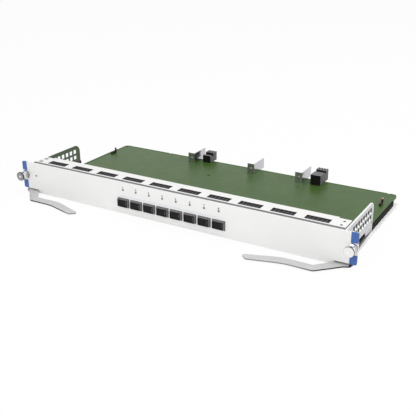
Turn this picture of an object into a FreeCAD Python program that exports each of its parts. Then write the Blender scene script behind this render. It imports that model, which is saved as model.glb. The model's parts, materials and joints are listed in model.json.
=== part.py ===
"""Switch line card: a wide, flat chassis card with eight plugged ports and two ejector levers.

Everything is drawn in face coordinates, in millimetres: X runs along the face with 0 at its
middle, Y runs back from the front of the face, Z runs up from its bottom edge. Each sub-part's
Placement then moves it back, so that the origin is the centre of the tray's underside.
"""
import FreeCAD, Part
import os
import re
import Sketcher

# Driving sizes, each written once: name, value, meaning.
SIZES = [
    ("face_width", 380.0, "white face between the two ears"),
    ("face_height", 34.8, "bottom edge to top edge of the face"),
    ("face_gauge", 2.0, "thickness of the face"),
    ("ear_reach", 6.8, "how far each ear stands out beside the face"),
    ("ear_low", 13.4, "bottom of the ear's bare middle zone"),
    ("tongue_gauge", 0.8, "thin tongue of the ear inside a cap"),
    ("cap_height", 9.8, "bottom to top of an ear cap"),
    ("cap_wall", 1.0, "wall of an ear cap outside the tongue"),
    ("cap_depth", 2.0, "front to back of an ear cap"),
    ("cap_round", 1.5, "radius of a cap's outer corner"),
    ("port_count", 8, "ports in the row"),
    ("port_pitch", 16.28, "port to port"),
    ("port_offset", 0.75, "middle of the port row from the middle of the face"),
    ("port_height", 12.35, "middle of the ports above the bottom edge"),
    ("port_gap", 0.2, "clearance round a plug in the face's cut-out"),
    ("plug_width", 14.5, "plug head where it meets the face"),
    ("plug_height", 9.9, "plug head where it meets the face"),
    ("plug_front_width", 11.3, "plug head at its front"),
    ("plug_front_height", 7.0, "plug head at its front"),
    ("plug_stand", 2.5, "how far a plug head stands out of the face"),
    ("plug_end", 12.0, "rear end of a plug's shank"),
    ("plug_fit", 0.25, "clearance round a plug's shank in its cage"),
    ("cage_gauge", 0.4, "sheet of a port cage"),
    ("cage_width", 14.4, "outside width of a port cage"),
    ("cage_top", 17.2, "top of a port cage"),
    ("cage_end", 48.0, "rear of a port cage"),
    ("cage_set_back", 0.3, "gap between the face and a cage"),
    ("light_height", 26.6, "middle of the link lights above the bottom edge"),
    ("light_size", 1.9, "side of a square light pipe"),
    ("light_gap", 0.1, "clearance round a light pipe in the face"),
    ("light_stand", 0.2, "how far a light pipe stands out of the face"),
    ("light_bar_depth", 2.2, "front to back of the bar that joins the light pipes"),
    ("light_bar_edge", 1.6, "bar outside the light pipes"),
    ("status_inset", 13.0, "status light from the left end of the face"),
    ("status_height", 20.4, "status light above the bottom edge"),
    ("status_shoulder", 4.0, "side of the status light's shoulder"),
    ("status_length", 3.0, "length of the status light's shoulder"),
    ("gasket_depth", 2.6, "front to back of the gasket behind the face"),
    ("gasket_gap", 0.85, "gap between the light pipes' bar and the gasket over it"),
    ("gasket_drop", 0.1, "gasket's top below the top of the face"),
    ("gasket_inset", 0.2, "gasket's end from the flange's end"),
    ("flange_gap", 0.35, "gap between the flange's end and the side bracket"),
    ("flange_gauge", 1.4, "sheet of the flange"),
    ("flange_end", 26.5, "rear edge of the flange"),
    ("flange_step_width", 12.7, "end stretch where the rear edge steps forward"),
    ("flange_step", 2.1, "how far the rear edge steps forward there"),
    ("vent_groups", 10, "vent openings of the flange"),
    ("vent_pitch", 34.2, "opening to opening"),
    ("slot_count", 6, "slots that the screen's ribs leave in an opening"),
    ("slot_pitch", 4.1, "slot to slot"),
    ("slot_width", 3.7, "slot between two ribs"),
    ("slot_start", 9.0, "front end of a slot"),
    ("slot_length", 8.0, "length of a slot"),
    ("screen_edge", 1.5, "vent screen beyond the slots"),
    ("screen_gauge", 0.6, "thickness of the vent screen"),
    ("screen_rib", 1.0, "height of the screen's ribs in the openings"),
    ("bracket_inset", 7.2, "inner side of a side bracket from the end of the face"),
    ("bracket_gauge", 1.3, "sheet of a side bracket"),
    ("bracket_end", 82.5, "rear edge of a side bracket"),
    ("bracket_round", 3.0, "radius of its upper rear corner"),
    ("bracket_leg_start", 60.5, "where the bracket comes down to the rail"),
    ("bracket_low", 8.5, "its lower edge in front of that"),
    ("bracket_tab_width", 10.8, "width of its folded tabs"),
    ("face_tab_low", 23.5, "bottom of the tab behind the face"),
    ("face_tab_high", 29.0, "top of the tab behind the face"),
    ("top_tab_start", 6.5, "front of the tab under the flange"),
    ("top_tab_end", 24.0, "rear of the tab under the flange"),
    ("foot_inset", 1.5, "foot's ends inside the bracket's leg"),
    ("window_count", 8, "square windows in a row"),
    ("window_pitch", 7.0, "window to window"),
    ("window_start", 22.3, "front side of the first window"),
    ("window_width", 5.2, "window front to back"),
    ("window_height", 5.4, "window bottom to top"),
    ("window_low", 15.8, "bottom of the lower row"),
    ("window_row_pitch", 7.0, "row to row"),
    ("board_gap", 0.3, "gap between the board and the side bracket"),
    ("board_low", 4.4, "underside of the board"),
    ("board_gauge", 2.4, "thickness of the board"),
    ("board_start", 4.5, "front edge of the board"),
    ("board_end", 176.6, "rear edge of the board"),
    ("board_round", 5.0, "radius of its rear corners"),
    ("board_notch_gap", 2.0, "gap between the board and a lever's tab"),
    ("board_notch_end", 27.0, "rear end of that notch"),
    ("corner_hole_inset", 4.5, "board's corner hole from its side edge"),
    ("corner_hole_back", 5.6, "board's corner hole from its rear edge"),
    ("corner_hole_radius", 1.6, "board's corner hole"),
    ("edge_notch_radius", 1.6, "half-round notch in the board's rear edge"),
    ("edge_notch_out", 0.4, "notch's centre outside the edge"),
    ("tray_flank", 3.9, "how far the tray stands out beside the side bracket"),
    ("tray_gauge", 1.0, "sheet of the tray"),
    ("tray_end", 167.0, "rear edge of the tray"),
    ("tray_notch_inset", 21.0, "side edge of the tray from a lever's pivot"),
    ("tray_notch_end", 27.0, "rear end of that notch"),
    ("tray_lip_height", 5.0, "top of the tray's front lip"),
    ("tray_lip_inset", 2.0, "lip's ends from the notch"),
    ("rail_start", 27.0, "front end of an edge rail"),
    ("rail_end", 157.0, "rear end of an edge rail"),
    ("rail_wall", 1.5, "outer wall of an edge rail"),
    ("rail_base", 1.6, "base of an edge rail"),
    ("rail_ledge", 1.0, "ledge of an edge rail under the board"),
    ("rail_break", 0.5, "gap between a rail's wall and the bracket's leg"),
    ("rail_foot", 6.0, "width of its foot and its ledge"),
    ("rail_gap", 0.1, "clearance beside the board"),
    ("rail_drop", 0.2, "top of a rail below the board's top"),
    ("pivot_inset", 9.0, "lever's pivot from the end of the face"),
    ("pivot_depth", 9.0, "lever's pivot behind the face"),
    ("lever_low", 1.0, "underside of a lever"),
    ("lever_gauge", 1.7, "plate of a lever"),
    ("lever_lift", 0.2, "gap between a lever and the tab over it"),
    ("lever_slot_gap", 0.2, "clearance beside a lever's neck in the face"),
    ("lever_slot_lift", 1.2, "clearance over a lever's neck in the face"),
    ("lever_tab_gauge", 1.5, "tab behind the face that carries a lever"),
    ("lever_tab_inner", 11.0, "that tab from the pivot to its inner edge"),
    ("lever_tab_outer", 8.0, "that tab from the pivot to its outer edge"),
    ("lever_tab_end", 17.0, "rear edge of that tab"),
    ("pin_radius", 2.5, "lever pin where the lever turns"),
    ("pin_fit", 0.05, "running clearance round the lever pin"),
    ("pin_neck_radius", 2.0, "lever pin in its tab"),
    ("pin_head_radius", 4.0, "lower head of the lever pin"),
    ("pin_head_gauge", 0.8, "lower head of the lever pin"),
    ("pin_head_gap", 0.1, "gap between that head and the lever"),
    ("pin_rivet_radius", 3.0, "upper, riveted head of the lever pin"),
    ("pin_rivet_gauge", 1.0, "upper, riveted head of the lever pin"),
    ("screw_outset", 2.0, "thumb screw beyond the end of the face"),
    ("screw_height", 20.0, "thumb screw above the bottom edge"),
    ("screw_front", 10.0, "front of the screw's disc before the face"),
    ("disc_radius", 5.0, "disc of the thumb screw"),
    ("disc_gauge", 1.6, "disc of the thumb screw"),
    ("groove_radius", 3.9, "groove behind the disc"),
    ("groove_width", 0.5, "groove behind the disc"),
    ("barrel_radius", 4.2, "barrel of the thumb screw"),
    ("barrel_bore", 3.4, "hollow of the barrel"),
    ("barrel_floor", 2.4, "solid front of the thumb screw"),
    ("barrel_gap", 0.4, "gap between barrel and ferrule, driven in"),
    ("waist_radius", 1.1, "thin shank of the thumb screw"),
    ("waist_fit", 0.08, "running clearance round the thin shank"),
    ("thread_radius", 1.5, "threaded end of the thumb screw"),
    ("thread_length", 6.0, "threaded end of the thumb screw"),
    ("screw_travel", 5.0, "how far the thumb screw draws back out"),
    ("recess_reach", 2.0, "arm of the cross recess in the disc"),
    ("recess_width", 0.9, "width of a recess arm"),
    ("recess_depth", 0.9, "depth of the recess"),
    ("ferrule_radius", 5.1, "collar of the ferrule"),
    ("ferrule_stand", 3.4, "collar before the face"),
    ("ferrule_shank", 3.8, "ferrule in the face"),
    ("ferrule_fit", 0.05, "clearance round the ferrule in the face"),
    ("ferrule_tail", 0.6, "ferrule behind the face"),
    ("ferrule_bore", 3.2, "spring pocket of the ferrule"),
    ("ferrule_lip", 1.6, "rear lip that holds the screw captive"),
    ("washer_radius", 3.2, "thrust washer"),
    ("washer_gauge", 0.4, "thrust washer"),
    ("hole_gap", 0.05, "clearance round a screw or pin in its hole"),
    ("wall_screw_depth", 79.6, "screw of the bracket's wall behind the face"),
    ("wall_screw_height", 12.0, "screw of the bracket's wall above the bottom edge"),
    ("wall_screw_head", 2.7, "radius of its head"),
    ("wall_screw_stand", 1.6, "height of its head"),
    ("wall_screw_shank", 1.2, "radius of its shank"),
    ("standoff_depth", 60.0, "row of stand-offs behind the face"),
    ("standoff_pitch", 160.0, "stand-off to stand-off"),
    ("standoff_count", 2, "stand-offs in the row"),
    ("standoff_radius", 3.0, "stand-off"),
    ("board_screw_radius", 1.4, "shank of a board screw"),
    ("board_screw_head", 2.7, "radius of a board screw's head"),
    ("board_screw_stand", 1.6, "height of a board screw's head"),
    ("board_screw_bite", 3.0, "board screw's length below the board"),
    ("guide_left", -74.7, "left edge of the left guide bracket"),
    ("guide_middle", 7.4, "left edge of the middle guide bracket"),
    ("guide_right", 68.4, "left edge of the right guide bracket"),
    ("guide_width", 9.0, "front plate of a guide bracket"),
    ("guide_height", 12.1, "guide bracket above the board"),
    ("guide_gauge", 1.2, "sheet of a guide bracket"),
    ("guide_start", 159.0, "front of a guide bracket"),
    ("guide_end", 185.5, "rear end of its side wing"),
    ("guide_foot_end", 171.0, "rear end of its foot"),
    ("guide_screw_height", 5.4, "its screw above the board"),
    ("guide_screw_head", 2.0, "radius of that screw's head"),
    ("guide_screw_shank", 1.3, "radius of that screw's shank"),
    ("guide_screw_stand", 1.1, "its head before the plate"),
    ("guide_screw_tail", 2.5, "its end behind the plate"),
    ("socket_wall", 1.3, "wall round a rear connector's opening"),
    ("socket_depth", 6.0, "depth of that opening"),
    ("socket_ridges", 4, "ridges on top of a rear connector"),
    ("socket_groove", 0.9, "width and depth of the grooves between them"),
    ("socket_trough", 3.6, "trough across a rear connector's top"),
    ("socket_trough_depth", 2.0, "depth of the trough"),
    ("clip_width", 2.2, "board clip"),
    ("clip_start", 136.0, "front of a board clip's base"),
    ("clip_end", 145.5, "rear of a board clip's base"),
    ("clip_base_height", 1.5, "base of a board clip"),
    ("clip_gauge", 0.6, "leaf of a board clip"),
    ("clip_height", 6.2, "top of the leaf above the board"),
    ("left_clip_inset", 5.5, "middle of the left board clip from the board's edge"),
    ("right_clip_inset", 7.5, "middle of the right board clip from the board's edge"),
]

# Places that follow from the driving sizes, from the middle of the face.
PLACES = {
    "ear_high": "face_height - cap_height",
    "cap_low": "ear_low - cap_height",
    "gasket_low": "light_height + light_size / 2 + light_bar_edge + gasket_gap",
    "bracket_reach": "face_width / 2 - bracket_inset",
    "flange_reach": "bracket_reach - flange_gap",
    "flange_step_reach": "flange_reach - flange_step_width",
    "board_reach": "bracket_reach - board_gap",
    "tray_reach": "bracket_reach + bracket_gauge + tray_flank",
    "pivot_reach": "face_width / 2 - pivot_inset",
    "lever_tab_reach": "pivot_reach - lever_tab_inner",
    "board_notch_reach": "lever_tab_reach - board_notch_gap",
    "tray_notch_reach": "pivot_reach - tray_notch_inset",
    "bracket_tab_reach": "bracket_reach - bracket_tab_width",
    "screw_reach": "face_width / 2 + screw_outset",
    "status_reach": "face_width / 2 - status_inset",
}

# Rear connectors: left edge, width, front, rear, front block's top, rear block's top, step.
CONNECTORS = {
    "left": (-59.3, 10.8, 168.0, 184.0, 15.6, 17.6, 175.5),
    "right": (86.7, 12.1, 160.5, 185.0, 18.5, 19.7, 177.0),
}

# Small holes of the board and notches in its rear edge: across, back and radius.
BOARD_HOLES = [
    ("-(board_reach - corner_hole_inset)", "board_end - corner_hole_back", "corner_hole_radius"),
    (-28.4, 128.8, 1.5),
    (-1.8, 173.5, 1.0),
    (59.3, 170.7, 1.0),
    (-113.0, "board_end + edge_notch_out", "edge_notch_radius"),
    (172.6, "board_end + edge_notch_out", "edge_notch_radius"),
]

# Outline of the right lever from its pivot, in order: name, across, back, corner radius.
LEVER_CORNERS = [
    ("neck", -5.2, -9.3, 0.0),
    ("inner_elbow", -18.8, -24.3, 2.0),
    ("inner_bend", -48.0, -23.7, 40.0),
    ("tip_rear", -81.5, -34.8, 1.0),
    ("tip_side", -82.7, -37.0, 1.2),
    ("tip_front", -77.5, -42.3, 3.5),
    ("front_bend", -44.0, -33.3, 60.0),
    ("outer_elbow", -15.2, -33.6, 6.0),
    ("outer_neck", 4.8, -13.6, 3.0),
    ("shoulder", 10.8, -10.4, 3.0),
    ("claw_back", 12.6, 0.5, 3.0),
    ("claw_tip", 11.8, 5.4, 0.8),
    ("claw_inner", 8.8, 4.4, 0.8),
    ("heel", 6.6, 8.2, 2.0),
    ("rear_inner", -5.2, 7.4, 4.0),
]

SIDES = {"left": -1, "right": 1}
ORIGIN_DEPTH = "(face_gauge + tray_end) / 2"
BOARD_TOP = "board_low + board_gauge"
FLANGE_START = "face_gauge + gasket_depth"
FLANGE_LOW = "face_height - flange_gauge"
TONGUE_START = "(face_gauge - tongue_gauge) / 2"
TONGUE_END = "(face_gauge + tongue_gauge) / 2"
LEVER_TOP = "lever_low + lever_gauge"
TAB_LOW = f"{LEVER_TOP} + lever_lift"
RAIL_FLOOR = "tray_gauge + rail_base"
FIRST_PORT = "port_offset - port_pitch * (port_count - 1) / 2"
PORT_SPAN = "port_pitch * (port_count - 1)"
SCREW_SEAT = "barrel_floor - screw_front"
FIRST_VENT = "(-vent_pitch * (vent_groups - 1) / 2)"
VENT_REACH = "(slot_pitch * (slot_count - 1) + slot_width) / 2"

NAME = re.compile(r"\b[a-z]+(?:_[a-z0-9]+)+\b")

doc = FreeCAD.newDocument("switch_line_card")
sheet = doc.addObject("Spreadsheet::Sheet", "Sizes")
sub_parts = []


def add_size(name, value, meaning):
    """Writes one driving size into the next row of the sheet."""
    add_size.row += 1
    sheet.set(f"A{add_size.row}", meaning)
    sheet.set(f"B{add_size.row}", str(value))
    sheet.setAlias(f"B{add_size.row}", name)


add_size.row = 0


def spelled(words):
    """The same sum with every place written out in driving sizes."""
    words = str(words)
    for name in reversed(NAME.findall(words)):
        if name in PLACES:
            words = re.sub(rf"\b{name}\b", f"({spelled(PLACES[name])})", words)
    return words


def bound(words):
    """The same sum with every size name pointed at the sheet."""
    return NAME.sub(r"Sizes.\g<0>", spelled(words))


def number(words):
    """Today's value of a sum of sizes."""
    return float(sheet.evalExpression(spelled(words)))


def bind(thing, path, words):
    """Ties one property of an object to a sum of sizes."""
    thing.setExpression(path, bound(words))


def new_body(label, x=0, y=0, z=0):
    """An empty body whose own zero lies at x, y, z in face coordinates."""
    body = doc.addObject("PartDesign::Body", label)
    body.Label = label
    bind(body, "Placement.Base.x", x)
    bind(body, "Placement.Base.y", f"{y} - ({ORIGIN_DEPTH})")
    bind(body, "Placement.Base.z", z)
    return body


def sub_part(label, x=0, y=0, z=0):
    """A body that is a sub-part by itself."""
    body = new_body(label, x, y, z)
    sub_parts.append(body)
    return body


def new_sketch(body, plane, distance):
    """A sketch on one of the body's own planes, moved to a distance along the plane's axis."""
    sketch = body.newObject("Sketcher::SketchObject", "Sketch")
    support = next(item for item in body.Origin.OriginFeatures if item.Role == f"{plane}_Plane")
    sketch.AttachmentSupport = (support, "")
    sketch.MapMode = "FlatFace"
    sign = -1 if plane == "XZ" else 1
    bind(sketch, "AttachmentOffset.Base.z", f"{sign} * ({distance})")
    return sketch


def hold(sketch, kind, curve, spot, words):
    """Holds one coordinate of a point of the sketch at a sum of sizes."""
    rule = Sketcher.Constraint(kind, -1, 1, curve, spot, number(words))
    index = sketch.addConstraint(rule)
    bind(sketch, f"Constraints[{index}]", words)


def hold_radius(sketch, curve, words):
    """Holds a radius at a sum of sizes."""
    index = sketch.addConstraint(Sketcher.Constraint("Radius", curve, number(words)))
    bind(sketch, f"Constraints[{index}]", words)


def polygon(*corners):
    """A closed outline of straight lines through the corners."""
    def draw(sketch):
        first = sketch.GeometryCount
        count = len(corners)
        spots = [FreeCAD.Vector(number(across), number(up), 0) for across, up in corners]
        lines = [Part.LineSegment(spots[i], spots[(i + 1) % count]) for i in range(count)]
        sketch.addGeometry(lines, False)
        for i in range(count):
            following = first + (i + 1) % count
            sketch.addConstraint(Sketcher.Constraint("Coincident", first + i, 2, following, 1))
        for i, (across, up) in enumerate(corners):
            hold(sketch, "DistanceX", first + i, 1, across)
            hold(sketch, "DistanceY", first + i, 1, up)
    return draw


def rectangle(left, right, low, high):
    """A closed rectangle."""
    return polygon((left, low), (right, low), (right, high), (left, high))


def square(across, up, side):
    """A closed square about its middle."""
    return rectangle(f"{across} - ({side}) / 2", f"{across} + ({side}) / 2",
                     f"{up} - ({side}) / 2", f"{up} + ({side}) / 2")


def circle(across, up, radius):
    """A full circle."""
    def draw(sketch):
        index = sketch.GeometryCount
        centre = FreeCAD.Vector(number(across), number(up), 0)
        ring = Part.Circle(centre, FreeCAD.Vector(0, 0, 1), number(radius))
        sketch.addGeometry(ring, False)
        hold(sketch, "DistanceX", index, 3, across)
        hold(sketch, "DistanceY", index, 3, up)
        hold_radius(sketch, index, radius)
    return draw


def pad(body, plane, start, end, *outlines):
    """Adds material between two distances along the plane's axis."""
    sketch = new_sketch(body, plane, end if plane == "XZ" else start)
    for outline in outlines:
        outline(sketch)
    feature = body.newObject("PartDesign::Pad", "Pad")
    feature.Profile = sketch
    bind(feature, "Length", f"({end}) - ({start})")
    doc.recompute()
    return feature


def pocket(body, plane, start, end, *outlines):
    """Takes material away between two distances along the plane's axis."""
    before = body.Shape.Volume
    sketch = new_sketch(body, plane, start if plane == "XZ" else end)
    for outline in outlines:
        outline(sketch)
    feature = body.newObject("PartDesign::Pocket", "Pocket")
    feature.Profile = sketch
    bind(feature, "Length", f"({end}) - ({start})")
    doc.recompute()
    if body.Shape.Volume >= before:
        raise RuntimeError(f"a pocket of {body.Label} cut nothing")
    return feature


def repeat(body, feature, count, span):
    """Repeats a feature along its sketch's first axis, over a span from first to last."""
    pattern = body.newObject("PartDesign::LinearPattern", "Pattern")
    pattern.Originals = [feature]
    pattern.Direction = (feature.Profile[0], ["H_Axis"])
    bind(pattern, "Length", span)
    bind(pattern, "Occurrences", count)
    body.Tip = pattern
    doc.recompute()
    return pattern


def turn(body, axis, *corners):
    """Adds a turned form: corners are radius and distance along the axis."""
    plane = "XZ" if axis == "Z" else "XY"
    sketch = new_sketch(body, plane, 0)
    if axis == "X":
        corners = [(along, radius) for radius, along in corners]
    polygon(*corners)(sketch)
    feature = body.newObject("PartDesign::Revolution", "Turning")
    feature.Profile = sketch
    feature.ReferenceAxis = (sketch, ["H_Axis" if axis == "X" else "V_Axis"])
    feature.Angle = 360
    doc.recompute()
    return feature


def round_edges(body, radius, direction, spots):
    """Rounds the straight edges that run along a direction and pass through the spots."""
    base = body.Tip
    along = FreeCAD.Vector(*direction)
    names = []
    for index, edge in enumerate(base.Shape.Edges, 1):
        if edge.Curve.TypeId != "Part::GeomLine" or edge.tangentAt(0).cross(along).Length > 1e-6:
            continue
        for spot in spots:
            point = FreeCAD.Vector(*(number(words) for words in spot))
            if edge.distToShape(Part.Vertex(point))[0] < 1e-4:
                names.append(f"Edge{index}")
    if len(names) != len(spots):
        raise RuntimeError(f"{body.Label}: {len(names)} edges found for {len(spots)} corners")
    feature = body.newObject("PartDesign::Fillet", "Fillet")
    feature.Base = (base, names)
    bind(feature, "Radius", radius)
    doc.recompute()
    return feature


def group(label, bodies):
    """One sub-part that is a group of separate, identical pieces."""
    compound = doc.addObject("Part::Compound", label)
    compound.Label = label
    compound.Links = bodies
    sub_parts.append(compound)
    return compound


def front_panel():
    """White face: a plate with ears, port cut-outs, light holes and the levers' tabs."""
    body = sub_part("front_panel")
    half = "face_width / 2"
    ear = f"{half} + ear_reach"
    slot = "pivot_reach + lever_neck_x - lever_slot_gap"
    slot_top = f"{LEVER_TOP} + lever_slot_lift"
    right = [(slot, 0), (slot, slot_top), (half, slot_top), (half, "ear_low"), (ear, "ear_low"),
             (ear, "ear_high"), (half, "ear_high"), (half, "face_height")]
    left = [(f"-({across})", up) for across, up in reversed(right)]
    pad(body, "XZ", 0, "face_gauge", polygon(*right, *left))
    tongue_end = f"{ear} - cap_wall"
    for sign in SIDES.values():
        inner = f"{sign} * ({half})"
        outer = f"{sign} * ({tongue_end})"
        lower = rectangle(inner, outer, "cap_low + cap_wall", "ear_low")
        upper = rectangle(inner, outer, "ear_high", "face_height - cap_wall")
        pad(body, "XZ", TONGUE_START, TONGUE_END, lower, upper)
        tab = rectangle(f"{sign} * lever_tab_reach", f"{sign} * (pivot_reach + lever_tab_outer)",
                        TAB_LOW, f"{TAB_LOW} + lever_tab_gauge")
        pad(body, "XZ", "face_gauge", "lever_tab_end", tab)
        pivot = circle(f"{sign} * pivot_reach", "pivot_depth", "pin_neck_radius + hole_gap")
        pocket(body, "XY", TAB_LOW, f"{TAB_LOW} + lever_tab_gauge", pivot)
        bore = circle(f"{sign} * screw_reach", "screw_height", "ferrule_shank + ferrule_fit")
        pocket(body, "XZ", 0, "face_gauge", bore)
    opening = rectangle(f"{FIRST_PORT} - plug_width / 2 - port_gap",
                        f"{FIRST_PORT} + plug_width / 2 + port_gap",
                        "port_height - plug_height / 2 - port_gap",
                        "port_height + plug_height / 2 + port_gap")
    light = square(FIRST_PORT, "light_height", "light_size + 2 * light_gap")
    first = pocket(body, "XZ", 0, "face_gauge", opening, light)
    repeat(body, first, "port_count", PORT_SPAN)
    status = square("-status_reach", "status_height", "light_size + 2 * light_gap")
    pocket(body, "XZ", 0, "face_gauge", status)


def ear_caps():
    """Blue plastic caps that slide over the thin tongues of the ears."""
    for side, sign in SIDES.items():
        inner = f"{sign} * face_width / 2"
        outer = f"{sign} * (face_width / 2 + ear_reach)"
        pocket_end = f"{sign} * (face_width / 2 + ear_reach - cap_wall)"
        zones = {
            "upper": ("ear_high", "face_height", "ear_high", "face_height - cap_wall"),
            "lower": ("cap_low", "ear_low", "cap_low + cap_wall", "ear_low"),
        }
        for level, (low, high, pocket_low, pocket_high) in zones.items():
            body = sub_part(f"{side}_{level}_ear_cap")
            pad(body, "XZ", 0, "cap_depth", rectangle(inner, outer, low, high))
            hollow = rectangle(inner, pocket_end, pocket_low, pocket_high)
            pocket(body, "XZ", TONGUE_START, TONGUE_END, hollow)
            corner = high if level == "upper" else low
            round_edges(body, "cap_round", (0, 1, 0), [(outer, "cap_depth / 2", corner)])


def flange_gasket():
    """Dark strip squeezed between the face and the flange."""
    body = sub_part("flange_gasket")
    reach = "flange_reach - gasket_inset"
    strip = rectangle(f"-({reach})", reach, "gasket_low", "face_height - gasket_drop")
    pad(body, "XZ", "face_gauge", FLANGE_START, strip)


def top_vent_flange():
    """White folded flange behind the top of the face, with a row of vent openings."""
    body = sub_part("top_vent_flange")
    reach = "flange_reach"
    step = "flange_end - flange_step"
    top = polygon((f"-{reach}", FLANGE_START), (reach, FLANGE_START), (reach, step),
                  ("flange_step_reach", step), ("flange_step_reach", "flange_end"),
                  ("-flange_step_reach", "flange_end"), ("-flange_step_reach", step),
                  (f"-{reach}", step))
    pad(body, "XY", FLANGE_LOW, "face_height", top)
    leg = rectangle(f"-{reach}", reach, "gasket_low", FLANGE_LOW)
    pad(body, "XZ", FLANGE_START, f"{FLANGE_START} + flange_gauge", leg)
    opening = rectangle(f"{FIRST_VENT} - {VENT_REACH}", f"{FIRST_VENT} + {VENT_REACH}",
                        "slot_start", "slot_start + slot_length")
    first = pocket(body, "XY", FLANGE_LOW, "face_height", opening)
    repeat(body, first, "vent_groups", "vent_pitch * (vent_groups - 1)")


def vent_screen():
    """Black screen flat under the flange, with ribs that stand up into its openings."""
    body = sub_part("vent_screen")
    reach = f"{VENT_REACH} - ({FIRST_VENT}) + screen_edge"
    strip = rectangle(f"-({reach})", reach, "slot_start - screen_edge",
                      "slot_start + slot_length + screen_edge")
    pad(body, "XY", f"{FLANGE_LOW} - screen_gauge", FLANGE_LOW, strip)
    ribs = []
    for i in range(1, int(number("slot_count"))):
        start = f"{FIRST_VENT} - {VENT_REACH} + slot_pitch * {i}"
        ribs.append(rectangle(f"{start} - (slot_pitch - slot_width)", start, "slot_start",
                              "slot_start + slot_length"))
    first = pad(body, "XY", FLANGE_LOW, f"{FLANGE_LOW} + screen_rib", *ribs)
    repeat(body, first, "vent_groups", "vent_pitch * (vent_groups - 1)")


def side_brackets():
    """Polished side walls with two rows of square windows and three folded tabs."""
    for side, sign in SIDES.items():
        body = sub_part(f"{side}_side_bracket")
        near = "bracket_reach"
        far = "bracket_reach + bracket_gauge"
        start, end = (near, far) if sign > 0 else (f"-({far})", f"-{near}")
        wall = polygon(("face_gauge", "bracket_low"), ("bracket_leg_start", "bracket_low"),
                       ("bracket_leg_start", RAIL_FLOOR), ("bracket_end", RAIL_FLOOR),
                       ("bracket_end", "face_height"), ("face_gauge", "face_height"))
        pad(body, "YZ", start, end, wall)
        round_edges(body, "bracket_round", (1, 0, 0), [(start, "bracket_end", "face_height")])
        inner = f"{sign} * bracket_tab_reach"
        outer = f"{sign} * {near}"
        face_tab = rectangle(inner, outer, "face_tab_low", "face_tab_high")
        pad(body, "XZ", "face_gauge", "face_gauge + bracket_gauge", face_tab)
        top_tab = rectangle(inner, outer, "top_tab_start", "top_tab_end")
        pad(body, "XY", f"{FLANGE_LOW} - bracket_gauge", FLANGE_LOW, top_tab)
        foot = rectangle(inner, outer, "bracket_leg_start + foot_inset",
                         "bracket_end - foot_inset")
        pad(body, "XY", RAIL_FLOOR, f"{RAIL_FLOOR} + bracket_gauge", foot)
        windows = [rectangle("window_start", "window_start + window_width", low,
                             f"{low} + window_height")
                   for low in ("window_low", "window_low + window_row_pitch")]
        first = pocket(body, "YZ", start, end, *windows)
        repeat(body, first, "window_count", "window_pitch * (window_count - 1)")
        screw = circle("wall_screw_depth", "wall_screw_height", "wall_screw_shank + hole_gap")
        pocket(body, "YZ", start, end, screw)


def bottom_tray():
    """White sheet tray under the board, with a front lip and notches for the levers."""
    body = sub_part("bottom_tray")
    right = [("tray_notch_reach", "face_gauge"), ("tray_notch_reach", "tray_notch_end"),
             ("tray_reach", "tray_notch_end"), ("tray_reach", "tray_end")]
    left = [(f"-{across}", back) for across, back in reversed(right)]
    pad(body, "XY", 0, "tray_gauge", polygon(*right, *left))
    reach = "tray_notch_reach - tray_lip_inset"
    lip = rectangle(f"-({reach})", reach, "tray_gauge", "tray_lip_height")
    pad(body, "XZ", "face_gauge", "face_gauge + tray_gauge", lip)


def standoff_places():
    """Distances of the stand-offs from the middle."""
    return [f"standoff_pitch * ({i} - (standoff_count - 1) / 2)"
            for i in range(int(number("standoff_count")))]


def circuit_board():
    """Green board with notched front corners, rounded rear corners and a few small holes."""
    body = sub_part("circuit_board")
    right = [("board_notch_reach", "board_start"), ("board_notch_reach", "board_notch_end"),
             ("board_reach", "board_notch_end"), ("board_reach", "board_end")]
    left = [(f"-{across}", back) for across, back in reversed(right)]
    pad(body, "XY", "board_low", BOARD_TOP, polygon(*right, *left))
    corners = [(f"{sign} * board_reach", "board_end", BOARD_TOP) for sign in SIDES.values()]
    round_edges(body, "board_round", (0, 0, 1), corners)
    holes = [circle(across, back, radius) for across, back, radius in BOARD_HOLES]
    holes += [circle(place, "standoff_depth", "board_screw_radius + hole_gap")
              for place in standoff_places()]
    pocket(body, "XY", "board_low", BOARD_TOP, *holes)


def edge_rails():
    """Black rails that carry the board's side edges on the tray and pass under the brackets."""
    for side, sign in SIDES.items():
        body = sub_part(f"{side}_edge_rail")
        web = "board_reach + rail_gap"
        foot = f"{web} - rail_foot"
        outer = f"{web} + rail_wall"
        rail_top = f"{BOARD_TOP} - rail_drop"
        section = [(foot, "tray_gauge"), (outer, "tray_gauge"), (outer, rail_top),
                   (web, rail_top), (web, "board_low"), (foot, "board_low"),
                   (foot, "board_low - rail_ledge"), (web, "board_low - rail_ledge"),
                   (web, RAIL_FLOOR), (foot, RAIL_FLOOR)]
        corners = [(f"{sign} * ({across})", up) for across, up in section]
        pad(body, "XZ", "rail_start", "rail_end", polygon(*corners))
        room = rectangle(f"{sign} * ({foot})", f"{sign} * ({outer})",
                         "bracket_leg_start - rail_break", "bracket_end + rail_break")
        pocket(body, "XY", RAIL_FLOOR, rail_top, room)


def ejector_levers():
    """Flat cranked levers with a claw behind the face and a handle before it."""
    for side, sign in SIDES.items():
        body = sub_part(f"{side}_ejector_lever", f"{sign} * pivot_reach", "pivot_depth")
        corners = [(f"{sign} * lever_{name}_x", f"lever_{name}_y")
                   for name, across, back, radius in LEVER_CORNERS]
        hole = circle(0, 0, "pin_radius + pin_fit")
        pad(body, "XY", "lever_low", LEVER_TOP, polygon(*corners), hole)
        for name, across, back, radius in LEVER_CORNERS:
            if radius:
                spot = (f"{sign} * lever_{name}_x", f"lever_{name}_y", LEVER_TOP)
                round_edges(body, f"lever_{name}_round", (0, 0, 1), [spot])


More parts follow.
